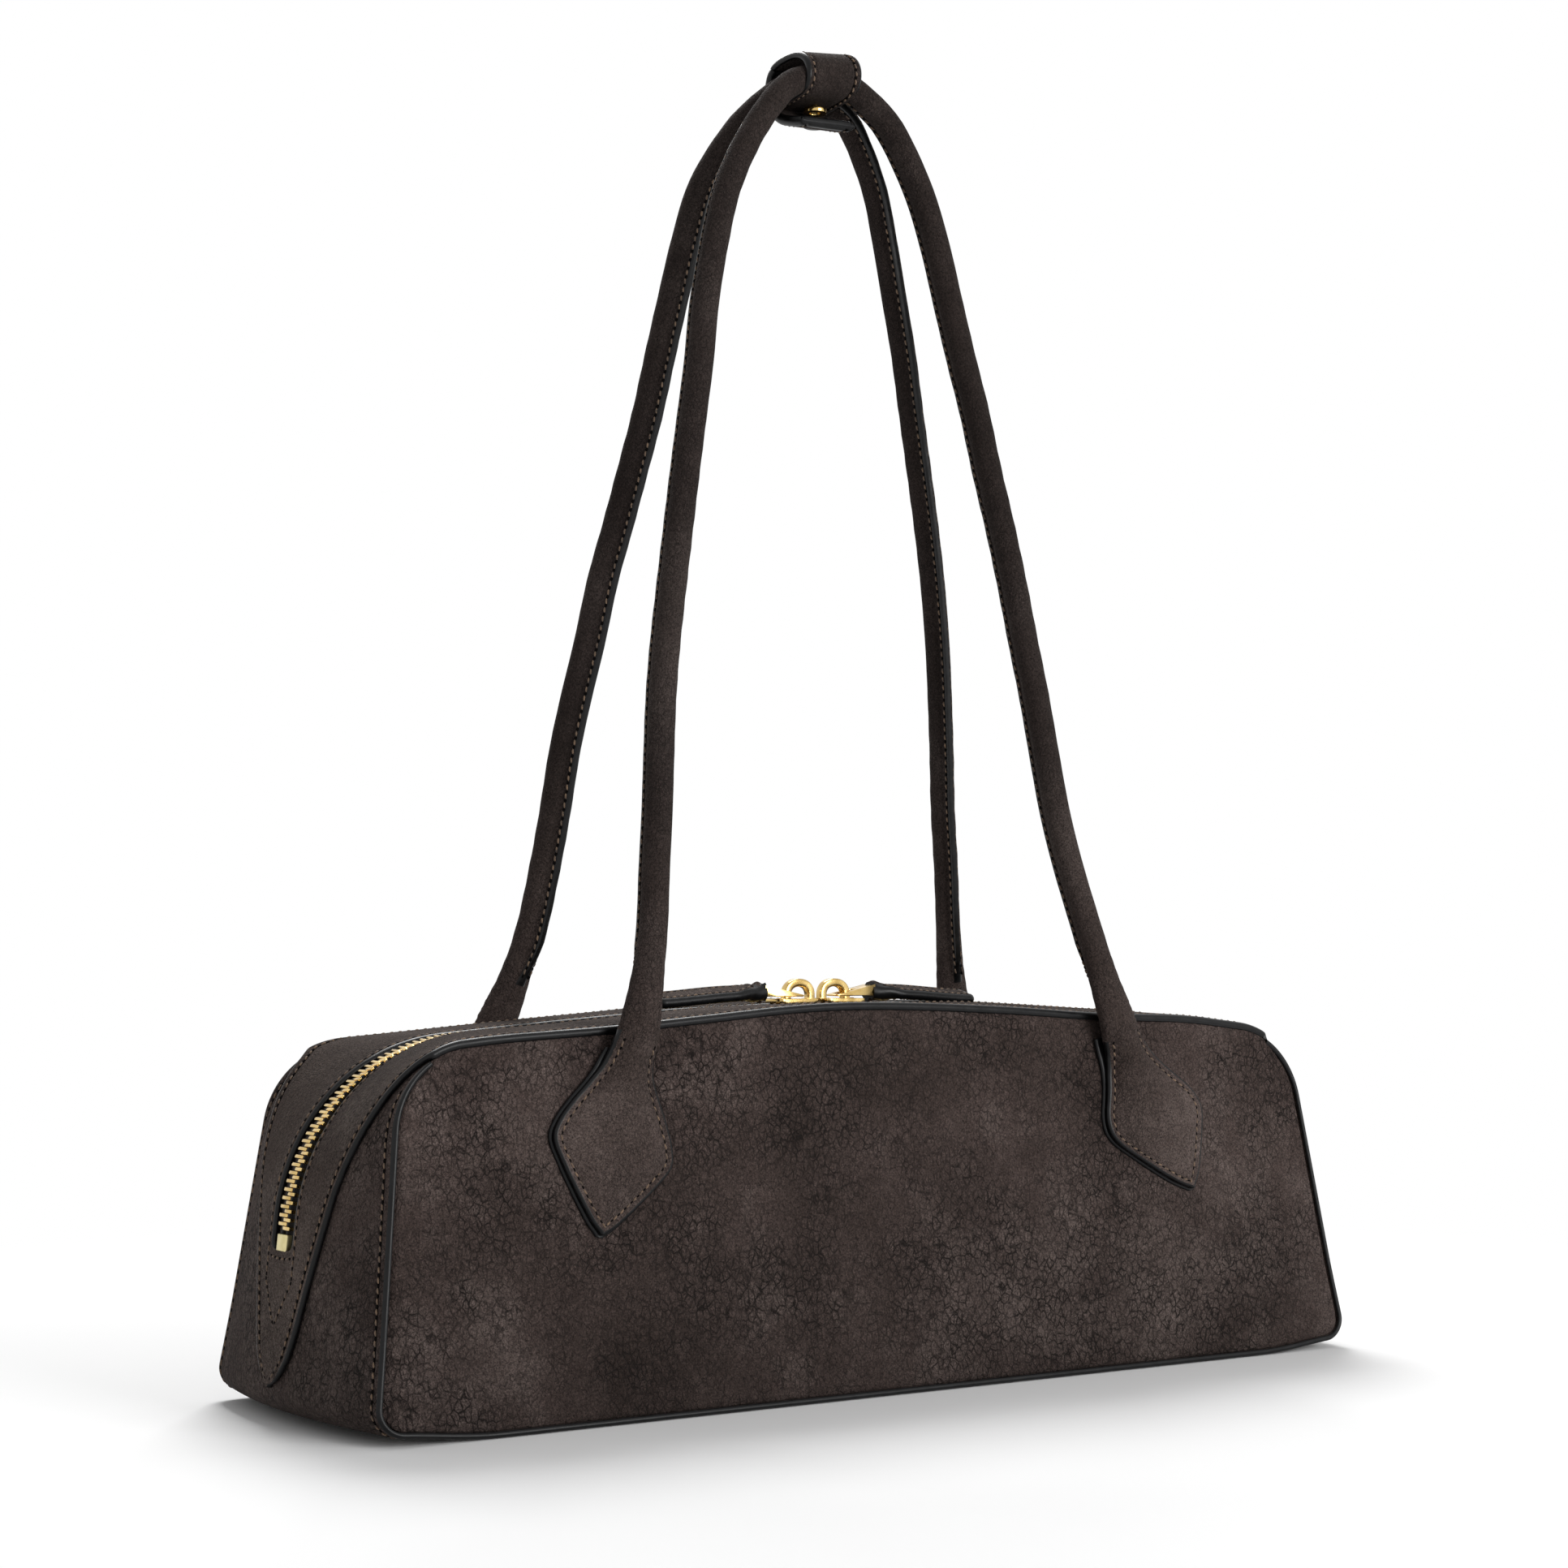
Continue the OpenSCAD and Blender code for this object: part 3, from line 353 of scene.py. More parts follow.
def newMaterial(name, **sockets):
    material = bpy.data.materials.new(name)
    material.use_nodes = True
    shader = material.node_tree.nodes["Principled BSDF"]
    for socket, value in sockets.items():
        shader.inputs[socket.replace("_", " ")].default_value = value
    return material, material.node_tree, shader


def add(tree, kind, links=None, **values):
    # a node with settings, and inputs by name or number that take a value or another socket
    node = tree.nodes.new(kind)
    for key, value in values.items():
        setattr(node, key, value)
    for key, value in (links or {}).items():
        socket = node.inputs[key]
        if isinstance(value, bpy.types.NodeSocket):
            tree.links.new(value, socket)
        else:
            socket.default_value = value
    return node


def ramp(tree, factor, stops):
    node = add(tree, "ShaderNodeValToRGB", {"Fac": factor})
    elements = node.color_ramp.elements
    while len(elements) < len(stops):
        elements.new(0.5)
    for element, (place, tone) in zip(elements, stops):
        element.position = place
        element.color = tone
    return node.outputs["Color"]


def remap(tree, value, low, high, toLow, toHigh, **settings):
    return add(tree, "ShaderNodeMapRange", {"Value": value, "From Min": low, "From Max": high, "To Min": toLow,
                                            "To Max": toHigh}, **settings).outputs["Result"]


def maths(tree, operation, *values):
    return add(tree, "ShaderNodeMath", dict(enumerate(values)), operation=operation).outputs[0]


def noise(tree, place, scale, detail=3.0, roughness=0.6):
    return add(tree, "ShaderNodeTexNoise", {"Vector": place, "Scale": scale, "Detail": detail,
                                            "Roughness": roughness}).outputs["Fac"]


def dress(tree, shader, base, rough, height, bump, distance):
    # the colour, roughness and bump that every material ends with
    bumped = add(tree, "ShaderNodeBump", {"Strength": bump, "Distance": distance, "Height": height})
    for value, socket in ((base, "Base Color"), (rough, "Roughness"), (bumped.outputs["Normal"], "Normal")):
        tree.links.new(value, shader.inputs[socket])


def newGroup(name, inputs, outputs):
    group = bpy.data.node_groups.new(name, "ShaderNodeTree")
    for socket, kind, value in inputs:
        item = group.interface.new_socket(socket, in_out="INPUT", socket_type=kind)
        if value is not None:
            item.default_value = value
    for socket in outputs:
        group.interface.new_socket(socket, in_out="OUTPUT", socket_type="NodeSocketFloat")
    return group, group.nodes.new("NodeGroupInput").outputs, group.nodes.new("NodeGroupOutput").inputs


def makeNapGroup():
    # brushed leather: mottled tone, fine grain, and creases between small pebbles, whose mask gives their bump and
    # the painted shade in them
    group, into, out = newGroup("leatherNap", [
        ("Vector", "NodeSocketVector", None), ("Pebble Scale", "NodeSocketFloat", 400.0),
        ("Pebble Amount", "NodeSocketFloat", 1.0)], ("Tone", "Grain", "Crease", "Height"))
    place = into["Vector"]
    broad, mid = noise(group, place, 13.0, 5.0), noise(group, place, 80.0, 5.0, 0.68)
    fine, speck = noise(group, place, 1400.0, 3.0, 0.8), noise(group, place, 3000.0, 1.0)
    warp = add(group, "ShaderNodeTexNoise", {"Vector": place, "Scale": 320.0, "Detail": 3.0, "Roughness": 0.6})
    bend = add(group, "ShaderNodeVectorMath", {0: warp.outputs["Color"], "Scale": 0.0024}, operation="SCALE")
    moved = add(group, "ShaderNodeVectorMath", {0: place, 1: bend.outputs[0]}, operation="ADD")
    slanted = add(group, "ShaderNodeMapping", {"Vector": moved.outputs[0], "Rotation": (0.2, 0.75, 0.1),
                                               "Scale": (1.0, 1.0, 0.7)})
    smallScale = maths(group, "MULTIPLY", into["Pebble Scale"], 2.2)
    lines = []
    for scale, width, strength in ((into["Pebble Scale"], 0.15, 1.0), (smallScale, 0.17, 0.5)):
        cells = add(group, "ShaderNodeTexVoronoi", {"Vector": slanted.outputs[0], "Scale": scale},
                    feature="DISTANCE_TO_EDGE")
        lines.append(ramp(group, cells.outputs["Distance"], [(0.0, grey(strength)), (width, grey(0))]))
    where = ramp(group, noise(group, place, 20.0, 4.0, 0.7), [(0.38, grey(0.35)), (0.56, grey(1))])
    spotty = ramp(group, noise(group, place, 230.0), [(0.34, grey(0.45)), (0.56, grey(1))])
    crease = maths(group, "MAXIMUM", *lines)
    for factor in (where, spotty, into["Pebble Amount"]):
        crease = maths(group, "MULTIPLY", crease, factor)
    tone = maths(group, "MULTIPLY_ADD", mid, 0.32, maths(group, "MULTIPLY", broad, 0.68))
    grain = maths(group, "MULTIPLY_ADD", speck, 0.35, maths(group, "MULTIPLY", fine, 0.65))
    height = maths(group, "MULTIPLY_ADD", crease, -1.4, grain)
    for value, name in ((tone, "Tone"), (grain, "Grain"), (crease, "Crease"), (height, "Height")):
        group.links.new(value, out[name])
    return group


def makeSpeckGroup():
    # a fine uneven skin for paint, metal and thread
    group, into, out = newGroup("surfaceSpeck", [
        ("Vector", "NodeSocketVector", None), ("Scale", "NodeSocketFloat", 400.0)], ("Value", "Height"))
    wide = noise(group, into["Vector"], into["Scale"], 5.0)
    tight = noise(group, into["Vector"], maths(group, "MULTIPLY", into["Scale"], 5.0), 2.0, 0.5)
    group.links.new(wide, out["Value"])
    group.links.new(maths(group, "MULTIPLY_ADD", tight, 0.4, wide), out["Height"])
    return group


napGroup, speckGroup = makeNapGroup(), makeSpeckGroup()
# brushed leather: how far the grain lightens and darkens, its range, and what the painted shade in the creases keeps
# of the dark tone
napped = {"grain": 0.75, "low": 0.35, "high": 0.65, "bump": 0.7, "distance": 0.0005, "creaseShadeTone": 0.5}


def leather(name, dark, middle, light, pebble, pebbleScale=430.0, heightShade=None):
    # painted shade by height: a low and a high place in metres, and the tone's factor at each
    material, tree, shader = newMaterial(name, Sheen_Weight=0.04, Sheen_Roughness=0.5,
                                         Sheen_Tint=colour(170, 156, 146), Specular_IOR_Level=0.1)
    place = add(tree, "ShaderNodeTexCoord").outputs["Object"]
    nap = add(tree, "ShaderNodeGroup", {"Vector": place, "Pebble Scale": pebbleScale, "Pebble Amount": pebble},
              node_tree=napGroup).outputs
    tone = ramp(tree, nap["Tone"], [(0.34, colour(*dark)), (0.5, colour(*middle)), (0.67, colour(*light))])
    shade = remap(tree, nap["Grain"], napped["low"], napped["high"], 1 - napped["grain"], 1 + napped["grain"],
                  clamp=False)
    # painted shade: the grain's tone is scaled by height
    if heightShade:
        up = add(tree, "ShaderNodeSeparateXYZ", {0: place}).outputs["Z"]
        shade = maths(tree, "MULTIPLY", shade, remap(tree, up, *heightShade))
    grained = add(tree, "ShaderNodeVectorMath", {0: tone, "Scale": shade}, operation="SCALE").outputs[0]
    # painted shade: the creases are mixed toward a darker copy of the dark tone
    creaseShaded = add(tree, "ShaderNodeMix", {0: nap["Crease"], 6: grained,
                                        7: colour(*[c * napped["creaseShadeTone"] for c in dark])}, data_type="RGBA")
    rough = remap(tree, nap["Grain"], napped["low"], napped["high"], 0.98, 0.86)
    dress(tree, shader, creaseShaded.outputs[2], rough, nap["Height"], napped["bump"], napped["distance"])
    return material


def plain(name, low, high, scale, roughLow, roughHigh, bump, distance=0.0002, **sockets):
    # paint, metal, thread or board with a speckled tone, roughness and skin
    material, tree, shader = newMaterial(name, **sockets)
    place = add(tree, "ShaderNodeTexCoord").outputs["Object"]
    speck = add(tree, "ShaderNodeGroup", {"Vector": place, "Scale": scale}, node_tree=speckGroup).outputs
    dress(tree, shader, ramp(tree, speck["Value"], [(0.35, colour(*low)), (0.65, colour(*high))]),
          remap(tree, speck["Value"], 0.35, 0.65, roughLow, roughHigh), speck["Height"], bump, distance)
    return material


def woven(name, low, high, threads):
    # crossing threads on the piece's own UV map, which is in metres
    material, tree, shader = newMaterial(name, Sheen_Weight=0.15, Specular_IOR_Level=0.2)
    place = add(tree, "ShaderNodeTexCoord").outputs
    crossing = {"Vector": place["UV"], "Scale": threads, "Distortion": 0.6, "Detail": 1.0, "Detail Scale": 2.0}
    waves = [add(tree, "ShaderNodeTexWave", crossing, bands_direction=way) for way in ("X", "Y")]
    weave = maths(tree, "MULTIPLY", *(wave.outputs["Fac"] for wave in waves))
    uneven = noise(tree, place["Object"], 90.0, 4.0, 0.5)
    tone = maths(tree, "MULTIPLY_ADD", uneven, 0.7, weave)
    dress(tree, shader, ramp(tree, tone, [(0.25, colour(*low)), (0.9, colour(*high))]),
          remap(tree, uneven, 0, 1, 0.8, 0.95), weave, 0.5, 0.0003)
    return material


# painted shade: the bag's leather darkens towards the bottom
nubuck = leather("nubuck", (42, 34, 31), (64, 54, 51), (94, 83, 79), 1.15, heightShade=(0.0, 0.1, 0.74, 1.06))
nubuckFine = leather("nubuckFine", (44, 36, 33), (63, 54, 50), (90, 80, 75), 0.75, pebbleScale=560.0)
# painted light and shade: lighter low on the kites, darker up the handles and on the keeper
nubuckHandle = leather("nubuckHandle", (45, 37, 34), (63, 54, 51), (88, 78, 74), 0.65, pebbleScale=600.0,
                       heightShade=(0.1, 0.2, 1.16, 0.5))
edgePaint = plain("edgePaint", (7, 7, 8), (15, 15, 16), 260.0, 0.3, 0.42, 0.25, Specular_IOR_Level=0.2)
brass = plain("brass", (194, 162, 96), (224, 196, 134), 180.0, 0.14, 0.26, 0.03, 0.0001, Metallic=1.0)
paleBrass = plain("paleBrass", (196, 184, 130), (218, 206, 158), 240.0, 0.3, 0.42, 0.1, 0.0001, Metallic=1.0)
threadMaterial = plain("thread", (50, 39, 31), (112, 90, 70), 700.0, 0.7, 0.85, 0.5, 0.0002, Sheen_Weight=0.05)
# painted shade: near-black discs that stand for the shade inside the needle holes
needleHoleShade = plain("needleHoleShade", (6, 5, 5), (13, 11, 10), 600.0, 0.9, 1.0, 0.2, Specular_IOR_Level=0.05)
tapeCloth = woven("tapeCloth", (12, 12, 13), (34, 33, 34), 520.0)
liningCloth = woven("liningCloth", (96, 84, 74), (140, 126, 114), 330.0)
boardMaterial = plain("board", (120, 116, 108), (150, 146, 138), 120.0, 0.75, 0.9, 0.3)
ropeMaterial = plain("rope", (168, 158, 138), (212, 204, 186), 500.0, 0.8, 0.95, 0.5)
print("materials made")


# sewing: one stitch and a dark disc of painted shade for its needle hole, copied along paths; sizes in millimetres
stitch = {"pitch": 3.0, "length": 2.0, "width": 0.72, "thickness": 0.64, "arch": 0.14, "slant": 0.22,
          "raised": 0.08, "hole": (0.72, 0.576, 0.3), "holeSunk": 0.08, "look": 0.4}


def unitBall(segments, rings):
    deselectAll()
    bpy.ops.mesh.primitive_uv_sphere_add(segments=segments, ring_count=rings, radius=1)
    return takeShape(bpy.context.object)


stitchBall, holeShadeBall = unitBall(8, 6), unitBall(6, 4)


def sewing(name, paths, pitch=stitch["pitch"]):
    # paths are pairs of points and outward directions in millimetres
    points, faces, slots = [], [], []
    start = 0
    for line, outward in paths:
        steps = stepsAlong(line)
        count = max(int(round(steps[-1] / pitch)), 1)
        step = steps[-1] / count
        length = stitch["length"] / stitch["pitch"] * step
        threadSize = (length / 2, stitch["width"] / 2, stitch["thickness"] / 2)
        # thread for each stitch, and at its ends flat dark discs of painted shade for the needle holes
        for centres, (shape, shapeFaces), size, slot, sunk in (
                ((np.arange(count) + 0.5) * steps[-1] / count, stitchBall, threadSize, 0, -stitch["raised"]),
                (np.arange(count + 1) * steps[-1] / count, holeShadeBall, stitch["hole"], 1, stitch["holeSunk"])):
            middle, up = pointsAt(centres, steps, line), unit(pointsAt(centres, steps, outward))
            ahead = unit(pointsAt(np.minimum(centres + stitch["look"], steps[-1]), steps, line)
                         - pointsAt(np.maximum(centres - stitch["look"], 0), steps, line))
            up = unit(up - ahead * (up * ahead).sum(1, keepdims=True))
            side = np.cross(up, ahead)
            ball = shape[:, [2, 1, 0]] * size
            if slot == 0:
                ahead, side = unit(ahead + stitch["slant"] * side), unit(side - stitch["slant"] * ahead)
                ball[:, 2] -= (ball[:, 0] / size[0]) ** 2 * stitch["arch"]
            made = (middle[:, None] + ball[None, :, :1] * ahead[:, None] + ball[None, :, 1:2] * side[:, None]
                    + (ball[None, :, 2:] - sunk) * up[:, None])
            points.append(made.reshape(-1, 3))
            for k in range(len(centres)):
                faces.extend([[start + k * len(shape) + i for i in f] for f in shapeFaces])
                slots.extend([slot] * len(shapeFaces))
            start += len(centres) * len(shape)
    piece = looseMesh(name, np.concatenate(points), faces, [threadMaterial, needleHoleShade], slots)
    bpy.ops.object.shade_smooth()
    return piece


# a leather band's section: rounded painted rims, a pressed line under each stitch row
band = {"rimSteps": 4, "stitchInset": 3.2, "press": 0.55, "pressWidth": 0.6}
rimTurns = np.linspace(-90, 90, band["rimSteps"] * 2 + 1)
topInsets = np.array([1.6, 2.2, 2.7, 3.2, 3.7, 4.3, 5.4])


def bandSection(start, end, low, high, middle=7, bottom=5, pressed=(True, True)):
    # start and end are y of the two rims, low and high the heights of the faces, each per row
    start, end, low, high = [np.asarray(v, float)[:, None] for v in (start, end, low, high)]
    width = np.abs(end - start)
    toward = np.where(end >= start, 1.0, -1.0)
    radius = (high - low) / 2
    rimSize = np.minimum(radius, width / 2.2)
    fit = np.minimum(1.0, width / (2 * (topInsets[-1] + 1.0)))
    y, z, flags = [], [], []

    def put(place, height, flag):
        y.append(place)
        z.append(height + 0 * place)
        flags.append(flag)

    def putFromRim(inset, height, fromStart, flag):
        put((start + toward * inset) if fromStart else (end - toward * inset), height, flag)

    def putSewn(insets, fromStart, isPressed):
        for inset in insets:
            dip = band["press"] * math.exp(-((inset - band["stitchInset"]) / band["pressWidth"]) ** 2)
            putFromRim(inset * fit, high - dip * fit * isPressed, fromStart, 0)
    for fromStart, turns in ((True, rimTurns), (False, rimTurns[::-1])):
        for turn in turns:
            a = math.radians(turn)
            putFromRim(rimSize * (1 - math.cos(a)), low + radius * (1 + math.sin(a)), fromStart, 1)
        if fromStart:
            flags[-1] = 0
            putSewn(topInsets, True, pressed[0])
            reach = toward * (topInsets[-1] * fit)
            for k in range(1, middle + 1):
                put(mix(start + reach, end - reach, k / (middle + 1)), high, 0)
            putSewn(topInsets[::-1], False, pressed[1])
    flags[-1] = 0
    for share in 0.06 + 0.88 * np.arange(bottom) / max(bottom - 1, 1):
        put(mix(end, start, share), low, 0)
    y.append(y[0])
    z.append(z[0])
    return np.concatenate(y, 1), np.concatenate(z, 1), flags


# top strip: four quarters, each from the middle of the top round a corner to the tip of the tail
strip = {
    "low": 0.2, "high": 2.2, "rimLow": -0.7, "slot": 6.5, "slotFoot": 51.2, "slotCorner": 2.6,
    "tailZ": [9.8, 10.3, 11.5, 14, 19.5, 26.5, 34, 43.5, 54, 65, 75, 85, 92, 98, 103, 106, 140],
    "tailHalf": [0, 2.4, 4.4, 7.0, 10.6, 13.2, 15.6, 18.8, 23, 27.6, 31.4, 34.8, 36.6, 38.1, 39.6, 41, 60],
    "slotStitch": 2.2, "sewnDown": 12, "veeHigh": 42, "veeLow": 29, "footSewn": 6.4,
}


def stripStations():
    # dense at the slot's foot and the tail's tip
    top, bottom = middleLine(2.0)[1], middleLine(3.0)[1]
    zs = np.concatenate([np.arange(55.4, top, 1.4), np.linspace(47.5, 55, 26), np.arange(12, 47.5, 1.3),
                         np.linspace(bottom, 12, 14)])
    zs = np.unique(zs)[::-1]
    found = np.concatenate([np.linspace(0, 1, 76) * 0.999, np.linspace(1, 2, 48)[1:],
                            2 + (top - zs) / (top - bottom), 3 + np.linspace(0, 0.32, 6)[1:]])
    tip = strip["tailZ"][0]
    found = found[middleLine(found)[1] > tip + 0.02]
    below = np.linspace(3, 3.6, 200)
    return np.append(found, np.interp(-tip - 0.01, -middleLine(below)[1], below))


stations = stripStations()
middleZ = middleLine(stations)[1]


def stripEdges(stationList):
    z = middleLine(stationList)[1]
    outer = np.minimum(edgeDepth(stationList), np.interp(z, strip["tailZ"], strip["tailHalf"]))
    over = z - strip["slotFoot"]
    r = strip["slotCorner"]
    rounding = np.where(over < r, r - np.sqrt(np.maximum(r * r - (r - np.clip(over, 0, r)) ** 2, 0)), 0)
    inner = np.where(over > 0, strip["slot"] - rounding, 0.0)
    inner = np.where(stationList < 1.9, strip["slot"], inner)
    return outer, np.minimum(inner, outer)


def stripQuarter(side, face):
    # side -1 is left, face -1 is front
    sideWord, faceWord = words(side, face)
    outer, inner = stripEdges(stations)
    onEdge = ease((outer - edgeDepth(stations) + 1.0) / 1.0)
    low = mix(strip["low"], strip["rimLow"], onEdge * (1 - ease((stations - 1.55) / 0.3)))
    y, rise, flags = bandSection(face * outer, face * inner, low, np.full(len(stations), strip["high"]),
                                 pressed=(True, False))
    # below the slot the inner rim closes on the other half
    rimStart = len(rimTurns) + len(topInsets) * 2 + 7
    y[inner < 0.01, rimStart:rimStart + len(rimTurns)] = 0
    # only the rim hangs down to the seam, the middle of the band stays on the skin
    rise = mix(rise, np.maximum(rise, strip["low"]), ease((np.abs(face * outer[:, None] - y) - 1.2) / 1.5))
    points = settle(skin(side * stations[:, None] + 0 * y, y, rise))
    piece = sheetGrid(f"{faceWord}_{sideWord}_strip_leather", points, [nubuckFine, edgePaint], flags)
    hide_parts(f"{sideWord}_strip_end", f"{faceWord}_strip")
    return piece


def openWithZip(piece):
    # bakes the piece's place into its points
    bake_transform(piece)


def skinPath(stationList, y, rise):
    points = settle(skin(stationList, y, rise))
    return points, unit(skin(stationList, y, rise + 1) - skin(stationList, y, rise))


def stripSewing(side, face):
    inset = stripEdges(stations)[0] - band["stitchInset"]
    beside = strip["slot"] + strip["slotStitch"]
    down = np.arange(len(stations)) < np.searchsorted(-middleZ, -float(strip["sewnDown"]))
    slot = middleZ > strip["veeHigh"]
    vee = (middleZ <= strip["veeHigh"]) & (middleZ > strip["veeLow"])
    veeShare = (middleZ - strip["veeLow"]) / (strip["veeHigh"] - strip["veeLow"])
    foot = np.interp(-(strip["slotFoot"] - strip["slotStitch"]), -middleZ, stations)
    # along the edge, beside the slot, to the vee's point, and across the slot's foot
    rows = ((stations[down], inset[down], -0.1), (stations[slot], np.full(slot.sum(), beside), 0),
            (stations[vee], beside * veeShare[vee], 0), (np.full(8, foot), np.linspace(0.2, strip["footSewn"], 8), 0))
    sideWord, faceWord = words(side, face)
    return sewing(f"{faceWord}_{sideWord}_strip_sewing",
                  [skinPath(side * station, face * y, strip["high"] + height) for station, y, height in rows])


for side in (-1, 1):
    for face in (-1, 1):
        openWithZip(stripQuarter(side, face))
        openWithZip(stripSewing(side, face))
print("top strip made")


# gusset: the two ends and the bottom in one band
gusset = {"start": 1.32, "thick": 1.9, "stitchInset": 3.2, "over": 0.25, "sewnFrom": 1.62, "bottomRows": 90}
gussetStations = np.concatenate([np.linspace(gusset["start"], 2, 26)[:-1], np.linspace(2, 3, 70)[:-1],
                                 np.linspace(3, 4, 16)])


def gussetPoints(y, rise):
    # y and rise are rows by columns for the right end; the left end mirrors them
    right = skin(gussetStations[:, None] + 0 * y, y, rise)
    left = right * [-1, 1, 1]
    t = np.linspace(0, 1, gusset["bottomRows"] + 2)[1:-1, None, None]
    return np.concatenate([right, mix(right[-1][None], left[-1][None], t), left[::-1]])


gussetHalf = edgeDepth(gussetStations) + gusset["over"]
y, rise, flags = bandSection(-gussetHalf, gussetHalf, np.full(len(gussetHalf), -gusset["thick"]),
                             np.zeros(len(gussetHalf)), middle=26, bottom=18)
gussetPiece = sheetGrid("gusset_leather", settle(gussetPoints(y, rise)), [nubuck, edgePaint], flags)
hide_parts("gusset")
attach(gussetPiece, "shell")
seam = np.linspace(gusset["sewnFrom"], 4, 150)
seamY = edgeDepth(seam) + gusset["over"] - gusset["stitchInset"]
gussetSewing = sewing("gusset_sewing", [skinPath(side * seam, face * seamY, -0.12)
                                        for side in (-1, 1) for face in (-1, 1)])
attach(gussetSewing, "shell")
print("gusset made")


# front and back panels
panel = {"columns": 260, "rows": 84, "gap": 0.25, "roll": 1.3, "puff": 1.1, "puffOver": 45, "wave": 0.55,
         "waveOver": 16}


def panelOutline(station):
    s = np.abs(station)
    x, z, lean = edgeLine(s)
    inset = mix(0.15, gusset["thick"] + 0.2, ease((s - 1.2) / 0.35))
    return np.stack([np.where(station < 0, -1, 1) * (x - inset * np.sin(lean)), z - inset * np.cos(lean)], -1)


def patch(outline, columns, rows, cornerTop=1.5, cornerFoot=3.5):
    # a surface filled between the outline's four sides
    top = resample(outline(np.linspace(-cornerTop, cornerTop, 600)), columns)
    right = resample(outline(np.linspace(cornerFoot, cornerTop, 400)), rows)
    foot = np.concatenate([outline(np.linspace(-cornerFoot, -4, 30)), outline(np.linspace(4, cornerFoot, 30))])
    bottom = resample(foot, columns)
    left = right * [-1, 1]
    u, v = np.meshgrid(np.linspace(0, 1, columns), np.linspace(0, 1, rows))
    u, v = u[..., None], v[..., None]
    corners = (1 - u) * (1 - v) * bottom[0] + u * (1 - v) * bottom[-1] + (1 - u) * v * top[0] + u * v * top[-1]
    return (1 - v) * bottom[None] + v * top[None] + (1 - u) * left[:, None] + u * right[:, None] - corners


def distanceToRim(flat):
    sides = (flat[0], flat[-1], flat[:, 0], flat[:, -1])
    count = sum(len(line) for line in sides)
    tree = kdtree.KDTree(count * len(sides))
    for index, p in enumerate(np.concatenate([resample(line, count) for line in sides])):
        tree.insert((p[0], p[1], 0), index)
    tree.balance()
    return np.array([tree.find((p[0], p[1], 0))[2] for p in flat.reshape(-1, 2)]).reshape(flat.shape[:2])


def softWaves(x, z, seed):
    waves = ((0.021, 0.034, 0.3), (0.047, -0.029, 1.9), (-0.033, 0.071, 4.1), (0.083, 0.052, 2.6),
             (0.012, -0.093, 5.2))
    return sum(np.sin(x * a + z * b + c + seed * 1.7) for a, b, c in waves) / len(waves)


for face, name in ((-1, "front_panel"), (1, "back_panel")):
    flat = patch(panelOutline, panel["columns"], panel["rows"])
    away = distanceToRim(flat)
    x, z = flat[..., 0], flat[..., 1]
    curl = panel["roll"] * (1 - np.sqrt(1 - (1 - np.clip(away / panel["roll"], 0, 1)) ** 2))
    swell = (panel["puff"] * ease(away / panel["puffOver"])
             + panel["wave"] * softWaves(x, z, face) * ease(away / panel["waveOver"]))
    points = np.stack([x, face * (halfDepth(z) - panel["gap"] - curl + swell), z], -1)
    piece = sheetGrid(f"{name}_leather", settle(points[:, ::-face]), [nubuck])
    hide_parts(name)
    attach(piece, "shell")
print("panels made")


# flat leather pieces with rounded painted rims: insets from the outline in millimetres, then shares
rimShares = [0, 0.13, 0.5, 1.0]
frontInsets = [1.5, 2.05, 2.6, 3.15, 3.8]
frontMiddle, backMiddle = 9, 9
edgeColumns = len(rimShares) + len(frontInsets)
# the column that follows the stitch line on either edge
sewnColumns = (len(rimShares) + 2, 2 * edgeColumns + frontMiddle - len(rimShares) - 3)
slabSewn = {"inset": 2.6, "width": 0.6}


def slabLayout():
    # each column: side (-1 front, 1 back), edge (1 or -1), inset kind and value, share of the middle
    edges = {edge: [(-1, edge, "rim", v) for v in rimShares] + [(-1, edge, "inset", v) for v in frontInsets]
             for edge in (1, -1)}
    across, back = (np.linspace(-1, 1, count + 2)[1:-1] for count in (frontMiddle, backMiddle))
    columns = edges[1] + [(-1, 1, "share", v) for v in across[::-1]] + edges[-1][::-1]
    columns += [(1, -1, "rim", v) for v in rimShares[1:]]
    columns += [(1, 1, "share", v) for v in back]
    columns += [(1, 1, "rim", v) for v in rimShares[:0:-1]]
    return columns + columns[:1]


slab = slabLayout()


def slabSection(half, along, thick, press):
    # half width and thickness per row along the piece; returns sideways and up arrays
    half, thick = np.asarray(half, float), np.asarray(thick, float) + 0 * np.asarray(half, float)
    stretch = np.sqrt(1 + np.clip(np.gradient(half, along), -2.2, 2.2) ** 2)
    r = thick / 2
    b, n = np.empty((len(half), len(slab))), np.empty((len(half), len(slab)))
    for k, (side, edge, kind, value) in enumerate(slab):
        if kind == "share":
            at = np.maximum(half - (frontInsets[-1] if side < 0 else r) * stretch, 0) * value
        else:
            at = edge * np.maximum(half - (value * r if kind == "rim" else value) * stretch, 0)
        inset = (half - np.abs(at)) / stretch
        rise = r * np.sqrt(np.maximum(1 - (1 - np.clip(inset / r, 0, 1)) ** 2, 0))
        if kind == "rim" and value == 0:
            rise = rise * (np.abs(at) < 1e-6)
        if side < 0:
            rise = rise - np.asarray(press) * np.exp(-((inset - slabSewn["inset"]) / slabSewn["width"]) ** 2)
        b[:, k], n[:, k] = at, side * rise
    return b, n, stretch


def rimSlots(rows):
    # the rims are painted, the faces are leather
    kinds = [kind for _, _, kind, _ in slab]
    flags = [1 if kinds[k] == "rim" and kinds[k + 1] == "rim" else 0 for k in range(len(kinds) - 1)]
    return np.tile(np.array(flags), (rows - 1, 1))


